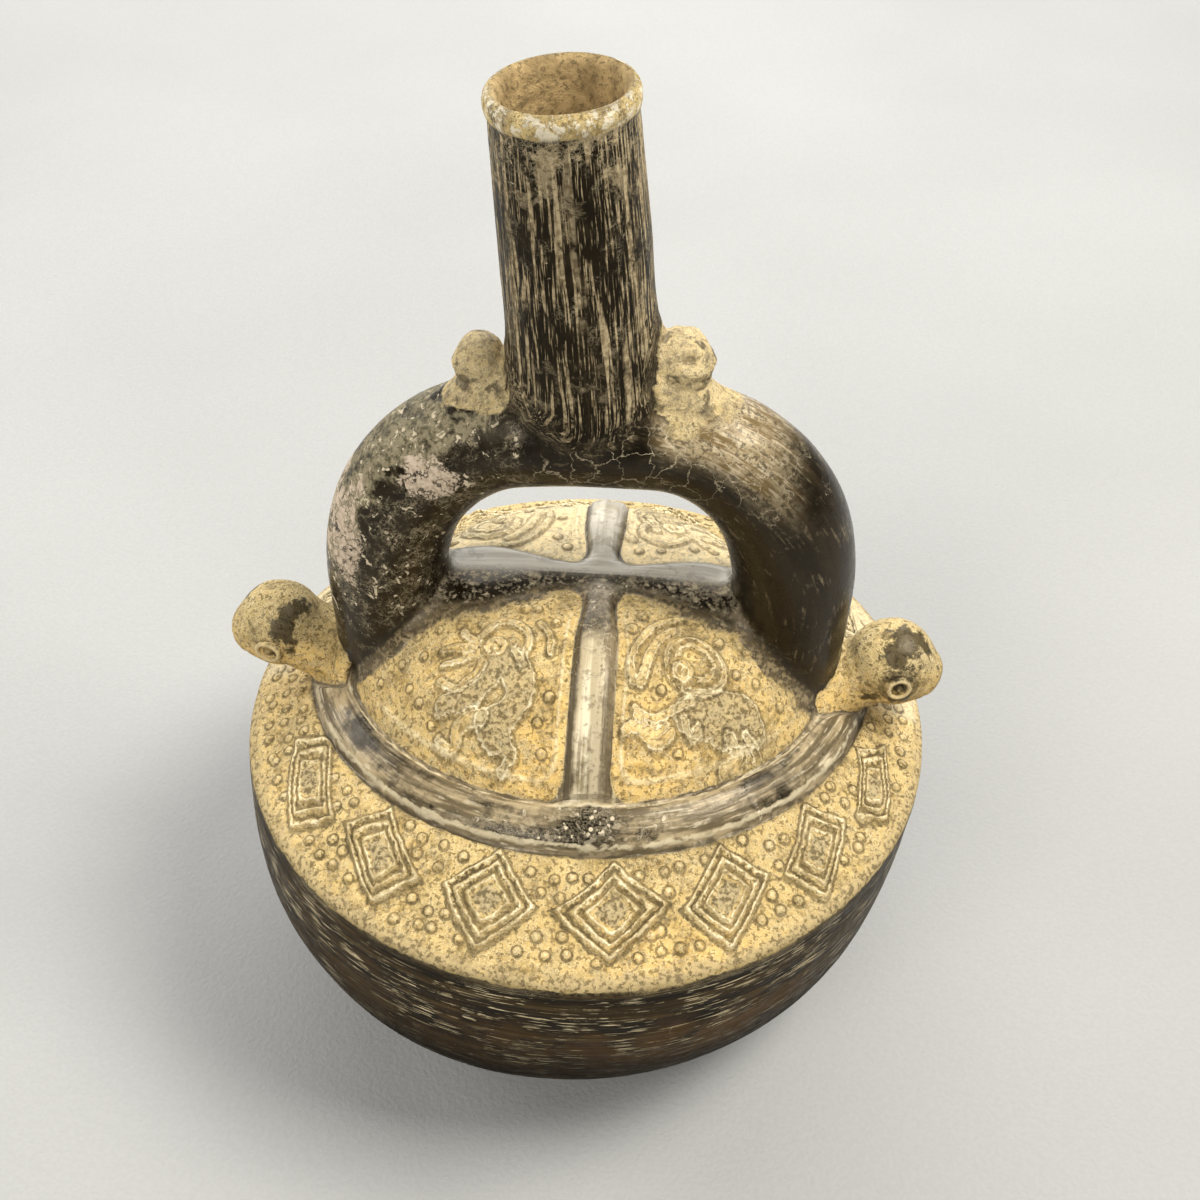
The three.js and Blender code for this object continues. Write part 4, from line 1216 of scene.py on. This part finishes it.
    # the rib in front: dark upper end, then a cream strip left of its middle, partly rubbed and partly a painted
    # reflection, with painted shade along its left edge and down its right flank
    ru = s.add(D["rib"], s.mul(wob, 1.4))
    upper = s.step(s.add(D["lens"], s.mul(wob, 12.0)), 39.0, 32.0)
    strip = s.mul(near(ru, -1.1, 1.5, 2.3), A["rib"])
    # painted shade along the rib's left edge
    col = s.mix(s.mul(near(ru, -3.9, 0.3, 1.0), A["rib"], 0.75), col, (0.05, 0.038, 0.021))
    col = s.mix(s.mul(A["rib"], upper, near(ru, 2.0, 1.0, 2.0), s.step(s.add(st2, s.mul(fine, 0.3)), 0.60, 0.68), 0.8), col, (0.56, 0.47, 0.31))
    # cream strip: partly rubbed clay, partly a painted reflection
    col = s.mix(s.mul(strip, upper, s.step(s.add(mid, s.mul(st3, 0.3)), 0.46, 0.62), 0.95), col, cream)
    # painted shade down the rib's right flank
    col = s.mix(s.mul(A["rib"], upper, near(ru, 3.3, 0.5, 1.3), s.val(s.step(st2, 0.4, 0.6), 0.3, 0.85)), col, (0.085, 0.064, 0.036))
    col = s.mix(s.mul(A["rib"], upper, s.step(s.add(s.mul(small, 0.5), s.mul(fine, 0.5)), 0.53, 0.60), 0.55), col, (0.12, 0.09, 0.05))
    col = s.mix(s.mul(A["rib"], near(s.add(D["rib"], s.mul(wob, 0.8)), 5.6, 0.15, 0.6), 0.7), col, (0.62, 0.52, 0.32))
    col = s.mix(s.mul(A["rib"], inv(upper), 0.8), col, s.mix(s.step(fine, 0.46, 0.6), (0.035, 0.027, 0.015), (0.20, 0.16, 0.09)))
    # the crest and everything behind it is bare and well polished; the pale grey on its bands is a painted reflection
    # of window glare, not the clay's colour
    painted_glare_grey = s.mix(s.step(st2, 0.35, 0.65), (0.44, 0.41, 0.34), (0.26, 0.235, 0.18))
    painted_glare_grey = s.mix(s.mul(s.step(patch, 0.53, 0.6), 0.6), painted_glare_grey, (0.10, 0.085, 0.06))
    col = s.mix(s.mul(A["band"], A["back"], 0.75), col, painted_glare_grey)
    # crest and the feet of the stirrup: dark with pale grit
    crest_grit = s.mul(A["band"], front, inv(s.math("MINIMUM", s.add(A["arc"], A["rib"]), 1.0)), s.step(s.add(s.mul(fine, 0.7), s.mul(mid, 0.4)), 0.52, 0.60))
    col = s.mix(s.mul(crest_grit, s.val(s.step(small, 0.42, 0.56), 0.3, 0.7)), col, s.mix(s.step(fine, 0.5, 0.65), (0.24, 0.19, 0.115), (0.52, 0.44, 0.29)))
    col = s.mix(s.mul(A["wash"], s.step(s.add(A["wash"], s.sub(mid, 0.5)), 0.15, 0.6), 0.75), col, s.mix(s.step(fine, 0.44, 0.58), s.mix(s.step(small, 0.42, 0.58), (0.34, 0.26, 0.145), (0.13, 0.095, 0.048)), (0.045, 0.033, 0.016)))
    # rubbed right shoulder of the stirrup, dusty left shoulder
    streak = s.add(s.mul(st1, 0.55), s.mul(st2, 0.45))
    rubc = s.mix(s.step(st2, 0.42, 0.6), (0.42, 0.335, 0.20), (0.17, 0.115, 0.05))
    rubc = s.mix(s.mul(s.step(s.add(s.mul(small, 0.5), s.mul(st3, 0.5)), 0.50, 0.60), 0.7), rubc, (0.62, 0.52, 0.35))
    rubc = s.mix(s.mul(s.step(s.add(s.mul(fine, 0.5), s.mul(st2, 0.5)), 0.49, 0.42), 0.75), rubc, (0.045, 0.032, 0.016))
    rb = s.step(s.add(A["rub"], s.mul(s.sub(streak, 0.5), 0.6)), 0.10, 0.90)
    col = s.mix(s.mul(rb, 0.92), col, rubc)
    du = s.step(s.add(s.mul(A["dust"], 0.42), s.mul(s.sub(patch, 0.5), 1.2)), 0.26, 0.40)
    col = s.mix(s.mul(du, 0.6), col, s.mix(s.step(fine, 0.4, 0.6), (0.36, 0.31, 0.19), (0.12, 0.105, 0.055)))
    # grit, threads and crazing
    fleck = s.step(s.add(s.mul(s.noise(co, 430, 3, 0.6, 0.8), 0.8), s.mul(A["speck"], 0.13)), 0.585, 0.61)
    fleck = s.mul(fleck, s.step(s.add(s.mul(mid, 0.6), s.mul(A["speck"], 0.35)), 0.38, 0.55))
    fleck = s.mul(fleck, s.sub(1.0, s.mul(A["band"], 0.7)))
    fleck = mx(fleck, s.mul(s.step(s.voronoi(co, 620), 0.31, 0.24), s.step(small, 0.44, 0.50), s.step(s.add(s.mul(patch, 0.6), s.mul(A["speck"], 0.22)), 0.46, 0.52)))
    thread = s.mul(mx(worm, s.mul(worm2, 0.7)), s.step(s.add(s.mul(patch, 0.8), s.mul(s.math("MAXIMUM", A["speck"], A["collar"]), 0.2)), 0.48, 0.6))
    thread = s.mul(thread, mx(A["tube"], A["spout"], s.mul(A["band"], 0.8)))
    wander = s.n.new("ShaderNodeVectorMath")
    wander.operation = "ADD"
    s.put(wander.inputs[0], co)
    sh = s.n.new("ShaderNodeCombineXYZ")
    s.put(sh.inputs[0], s.mul(s.sub(small, 0.5), 0.006))
    s.put(sh.inputs[1], s.mul(s.sub(mid, 0.5), 0.006))
    s.put(sh.inputs[2], s.mul(s.sub(patch, 0.5), 0.006))
    s.put(wander.inputs[1], sh.outputs[0])
    crack = s.step(s.voronoi(wander.outputs[0], 185, "DISTANCE_TO_EDGE"), 0.022, 0.006)
    crack = s.mul(crack, s.step(s.add(s.add(s.mul(mid, 0.4), s.mul(patch, 0.35)), s.mul(A["craze"], 0.5)), 0.52, 0.66))
    col = s.mix(s.mul(thread, 0.55), col, (0.42, 0.355, 0.23))
    col = s.mix(s.mul(crack, 0.7), col, (0.50, 0.42, 0.28))
    col = s.mix(s.mul(fleck, 0.85), col, (0.66, 0.565, 0.40))
    # soil caught in the spout's scraping marks
    run = s.mul(s.step(s.add(st1, s.mul(A["side"], 0.04)), 0.55, 0.62), s.step(small, 0.40, 0.56), 0.38)
    run2 = s.mul(s.step(s.add(st2, s.add(s.mul(A["collar"], 0.03), s.mul(A["side"], 0.022))), 0.580, 0.62), s.step(patch, 0.42, 0.52), 0.75)
    run3 = s.mul(s.step(s.add(st3, s.mul(A["side"], 0.032)), 0.585, 0.625), s.step(mid, 0.42, 0.55), 0.75)
    run4 = s.mul(s.step(st4, 0.58, 0.62), s.step(patch, 0.58, 0.46), 0.6)
    runs = s.mul(A["spout"], mx(run, run2, run3, run4))
    runs = mx(runs, s.mul(A["collar"], s.step(s.add(patch, s.mul(A["collar"], 0.03)), 0.54, 0.60), 0.6))
    col = s.mix(runs, col, s.mix(s.step(fine, 0.38, 0.62), (0.56, 0.45, 0.27), (0.27, 0.205, 0.115)))
    # abrasion: eaten islands where the dark skin is gone
    isl = s.step(s.add(s.mul(patch, 0.75), s.mul(A["wear"], 0.30)), 0.585, 0.61)
    isl = s.mul(isl, s.step(A["wear"], 0.12, 0.4), inv(s.mul(near(small, 0.47, 0.012, 0.04), 0.9)))
    skin = s.mix(s.step(fine, 0.4, 0.6), (0.44, 0.345, 0.255), (0.62, 0.51, 0.385))
    col = s.mix(s.mul(isl, 0.92), col, skin)
    # ---- soil ------------------------------------------------------------------------------------
    tan = s.mix(s.step(mid, 0.35, 0.66), (0.50, 0.37, 0.155), (0.34, 0.24, 0.092))
    ochre = s.mix(s.step(small, 0.3, 0.7), (0.76, 0.49, 0.13), (0.54, 0.315, 0.070))
    soil = s.mix(s.mul(A["ochre"], s.step(s.add(mid, s.mul(big, 0.3)), 0.42, 0.66)), tan, ochre)
    soil = s.mix(s.mul(s.step(small, 0.47, 0.64), 0.62), soil, (0.25, 0.18, 0.075))
    soil = s.mix(s.mul(s.step(patch, 0.50, 0.62), 0.42), soil, (0.20, 0.15, 0.068))
    soil = s.mix(s.mul(s.step(fine, 0.51, 0.60), 0.65), soil, (0.115, 0.085, 0.040))
    soil = s.mix(s.mul(s.step(fine, 0.45, 0.36), 0.45), soil, (0.74, 0.58, 0.29))
    soil = s.mix(s.mul(s.step(big, 0.56, 0.7), 0.35), soil, (0.24, 0.185, 0.095))
    # painted reflection: the soil behind the crest is painted paler cream to stand for window glare
    soil = s.mix(s.mul(A["back"], 0.36), soil, (0.84, 0.77, 0.58))
    soil = s.mix(s.mul(worm, s.step(patch, 0.42, 0.6), 0.6), soil, (0.07, 0.052, 0.027))
    soil = s.mix(s.mul(worm2, s.step(patch, 0.62, 0.44), 0.5), soil, (0.88, 0.74, 0.43))
    curl = s.n.new("ShaderNodeVectorMath")
    curl.operation = "ADD"
    s.put(curl.inputs[0], co)
    cs = s.n.new("ShaderNodeCombineXYZ")
    s.put(cs.inputs[0], s.mul(s.sub(fine, 0.5), 0.005))
    s.put(cs.inputs[1], s.mul(s.sub(small, 0.5), 0.008))
    s.put(cs.inputs[2], s.mul(s.sub(grain, 0.5), 0.003))
    s.put(curl.inputs[1], cs.outputs[0])
    net = s.mul(s.step(s.voronoi(curl.outputs[0], 560, "DISTANCE_TO_EDGE"), 0.10, 0.03), s.step(s.add(mid, s.mul(small, 0.5)), 0.66, 0.80))
    soil = s.mix(s.mul(net, inv(s.mul(A["back"], 0.7)), 0.30), soil, (0.88, 0.75, 0.45))
    grey = s.mix(s.step(fine, 0.42, 0.58), (0.54, 0.44, 0.255), (0.165, 0.130, 0.070))
    soil = s.mix(s.mul(rough_clay, 0.7), soil, grey)
    # painted shade in the grooves beside the raised lines and round the dots
    soil = s.mix(s.mul(hollow, s.val(s.step(mid, 0.3, 0.6), 0.95, 0.65)), soil, (0.075, 0.055, 0.026))
    # painted highlight on the crests of the raised lines and dots
    painted_crest_highlight = s.mix(s.step(fine, 0.35, 0.65), (0.95, 0.85, 0.58), (0.58, 0.45, 0.24))
    soil = s.mix(s.mul(ridge, s.val(s.step(patch, 0.40, 0.6), 0.95, 0.35)), soil, painted_crest_highlight)
    soil = s.mix(s.mul(A["head"], eye_dark, 0.6), soil, (0.06, 0.044, 0.022))
    soil = s.mix(s.mul(A["head"], eye, 0.75), soil, (0.70, 0.56, 0.31))
    soil = s.mix(s.mul(A["nub"], 0.2), soil, (0.60, 0.53, 0.39))
    pit = s.mul(A["nub"], s.step(s.add(D["pit"], s.mul(wob, 0.9)), 0.95, 0.45))
    soil = s.mix(s.mul(pit, 0.9), soil, (0.05, 0.038, 0.02))
    # ---- how much soil lies where -----------------------------------------------------------------
    cover = mx(A["ground"], s.mul(A["head"], 0.9), A["nub"], A["inner"], A["lip"])
    cover = s.add(cover, s.mul(A["edge"], 0.5))
    cut = s.add(s.mul(cover, 1.25), s.mul(s.sub(patch, 0.5), 1.5))
    cover = s.step(cut, 0.40, 0.66)
    bare = s.step(s.add(s.noise(co, 135, 6, 0.68), s.add(s.mul(A["hood"], 0.22), s.add(s.mul(A["lip"], 0.06), s.sub(s.mul(A["nub"], 0.03), s.mul(A["head"], 0.02))))), 0.57, 0.64)
    thinned = s.mul(mx(A["head"], s.mul(A["nub"], 0.85), s.mul(A["lip"], 0.9)), bare, inv(s.mul(eye, 0.8)))
    cover = s.mul(cover, inv(s.mul(thinned, 0.85)))
    col = s.mix(cover, col, soil)
    # painted shadow in the groove along the bands' outer edge and, fainter, just inside the panels' edges
    col = s.mix(s.mul(A["groove"], s.val(s.step(small, 0.4, 0.6), 0.35, 0.85)), col, (0.045, 0.034, 0.019))
    rubbed = s.mul(A["edge"], s.step(s.add(small, s.mul(A["edge"], 0.14)), 0.46, 0.56))
    col = s.mix(s.mul(rubbed, 0.8), col, s.mix(s.step(fine, 0.45, 0.6), (0.52, 0.40, 0.205), (0.20, 0.15, 0.075)))
    liprub = s.mul(A["lip"], s.step(s.add(s.mul(small, 0.6), s.mul(fine, 0.4)), 0.485, 0.56))
    col = s.mix(s.mul(liprub, 0.85), col, (0.76, 0.69, 0.53))
    inner = s.mix(s.step(small, 0.35, 0.65), (0.44, 0.315, 0.15), (0.24, 0.165, 0.075))
    inner = s.mix(s.mul(s.step(fine, 0.54, 0.62), 0.6), inner, (0.09, 0.065, 0.034))
    col = s.mix(s.mul(A["inner"], 0.85), col, inner)
    s.put(s.bsdf.inputs["Base Color"], col)
    # ---- gloss --------------------------------------------------------------------------------------
    matt = mx(cover, s.mul(isl, 0.95), s.mul(runs, 0.8), s.mul(fleck, 0.8), s.mul(du, 0.6))
    gl = s.val(s.step(small, 0.3, 0.75), 0.22, 0.40)
    gl = s.add(gl, s.mul(crest_grit, 0.3))
    gl = s.sub(gl, s.mul(A["band"], A["back"], 0.10))
    gl = s.add(gl, s.mul(A["bowl"], 0.14))
    gl = s.add(gl, s.mul(A["spout"], 0.14))
    s.put(s.bsdf.inputs["Roughness"], s.val(matt, gl, 0.84))
    level = s.val(s.math("MAXIMUM", A["bowl"], s.mul(A["spout"], 0.8)), 0.30, 0.08)
    s.put(s.bsdf.inputs["Specular IOR Level"], s.mul(level, s.sub(1.0, s.mul(A["low"], 0.9))))
    s.bsdf.inputs["Specular Tint"].default_value = (1.0, 0.88, 0.70, 1.0)
    # ---- surface ----------------------------------------------------------------------------------------
    h = s.mul(s.sub(fine, 0.5), s.val(cover, 0.06, 0.55))
    h = s.add(h, s.mul(s.sub(small, 0.5), s.val(cover, 0.12, 0.6)))
    h = s.add(h, s.mul(s.sub(grain, 0.5), s.val(cover, 0.02, 0.16)))
    h = s.add(h, s.mul(rough_clay, s.mul(s.sub(fine, 0.5), 1.1)))
    h = s.add(h, s.mul(s.sub(ridge, hollow), 0.34))
    h = s.add(h, s.mul(A["bowl"], s.add(s.mul(s.sub(st2, 0.5), 0.5), s.mul(s.sub(st1, 0.5), 0.4))))
    h = s.add(h, s.mul(s.add(A["arc"], A["rib"]), s.mul(s.sub(st2, 0.5), 0.3)))
    h = s.add(h, s.mul(A["spout"], s.add(s.mul(s.sub(st1, 0.5), 0.5), s.mul(s.sub(st2, 0.5), 0.5))))
    h = s.sub(h, s.mul(crack, 0.15))
    h = s.sub(h, s.mul(isl, 0.14))
    h = s.add(h, s.mul(fleck, 0.10))
    b = s.n.new("ShaderNodeBump")
    b.inputs["Strength"].default_value = 1.0
    b.inputs["Distance"].default_value = 0.0006
    s.put(b.inputs["Height"], h)
    s.put(s.bsdf.inputs["Normal"], b.outputs["Normal"])
    return s.mat


clay = clay_material()
me.materials.clear()
me.materials.append(clay)
me.polygons.foreach_set("material_index", np.zeros(len(me.polygons), np.int32))
for m in KINDS:
    bpy.data.materials.remove(m)
me.update()
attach(ob, "root")
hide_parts("vessel")

# ------------------------------------------------------------------------------------------
# Floor, light and camera
# ------------------------------------------------------------------------------------------


def floor():
    n = 40
    g = np.linspace(-2.2, 2.2, n)
    X, Y = np.meshgrid(g, g, indexing="ij")
    verts = [(float(x), float(y), -0.0003) for x, y in zip(X.ravel(), Y.ravel())]
    faces = [(i * n + j, (i + 1) * n + j, (i + 1) * n + j + 1, i * n + j + 1) for i in range(n - 1) for j in range(n - 1)]
    m = bpy.data.meshes.new("floor")
    m.from_pydata(verts, [], faces)
    o = bpy.data.objects.new("floor", m)
    bpy.context.scene.collection.objects.link(o)
    s = Shade("floor_cloth")
    a = s.noise(s.coord, 3.0, 3)
    b = s.noise(s.coord, 900, 2)
    col = s.mix(s.step(a, 0.3, 0.7), (0.33, 0.33, 0.322), (0.37, 0.37, 0.362))
    s.put(s.bsdf.inputs["Base Color"], s.mix(s.mul(s.step(b, 0.3, 0.7), 0.12), col, (0.28, 0.28, 0.275)))
    s.put(s.bsdf.inputs["Roughness"], s.val(s.step(b, 0.3, 0.7), 0.85, 0.95))
    bm = s.n.new("ShaderNodeBump")
    bm.inputs["Distance"].default_value = 0.0004
    bm.inputs["Strength"].default_value = 0.5
    s.put(bm.inputs["Height"], b)
    s.put(s.bsdf.inputs["Normal"], bm.outputs["Normal"])
    m.materials.append(s.mat)


floor()


def area(name, where, at, size, power, colour=(1, 1, 1), size_y=None):
    l = bpy.data.lights.new(name, "AREA")
    l.energy = power
    l.color = colour
    l.shape = "RECTANGLE"
    l.size = size
    l.size_y = size_y or size
    o = bpy.data.objects.new(name, l)
    o.location = where
    o.rotation_euler = (Vector(at) - Vector(where)).to_track_quat("-Z", "Y").to_euler()
    bpy.context.scene.collection.objects.link(o)
    return o


C = (0.003, 0, 0.10)
area("back", (-0.10, 0.88, 0.62), (0, 0, 0.06), 1.3, 14.0, (1.0, 0.995, 0.98), 0.9)
area("key", (0.62, -0.05, 1.10), C, 0.5, 19.0, (1.0, 0.97, 0.91))
area("front", (-0.45, -0.95, 0.85), C, 0.6, 10.5, (1.0, 0.975, 0.93))
area("left", (-1.0, 0.25, 0.55), C, 0.5, 5.5, (1.0, 0.985, 0.95))
world = bpy.data.worlds.new("room")
world.use_nodes = True
bg = world.node_tree.nodes["Background"]
bg.inputs[0].default_value = (0.90, 0.895, 0.88, 1)
bg.inputs[1].default_value = 0.14
bpy.context.scene.world = world

cam = bpy.data.cameras.new("camera")
cam.lens = 48.0
cam.sensor_width = 36.0
cam.dof.use_dof = False
cam.clip_start = 0.01
cam_ob = bpy.data.objects.new("camera", cam)
bpy.context.scene.collection.objects.link(cam_ob)
CAM_AT = np.array([0.2665, -3.3351, 3.4460]) * R
cam_right = Vector((0.99662428, 0.08111387, 0.01267225))
cam_down = Vector((0.0637287, -0.66705247, -0.74228004))
cam_fwd = Vector((-0.05175615, 0.7405819, -0.66996997))
rot = Matrix((cam_right, -cam_down, -cam_fwd)).transposed()
cam_ob.matrix_world = Matrix.Translation((Vector(CAM_AT) + SHIFT) * 0.001) @ rot.to_4x4()
bpy.context.scene.camera = cam_ob
bpy.context.scene.view_settings.view_transform = "Standard"
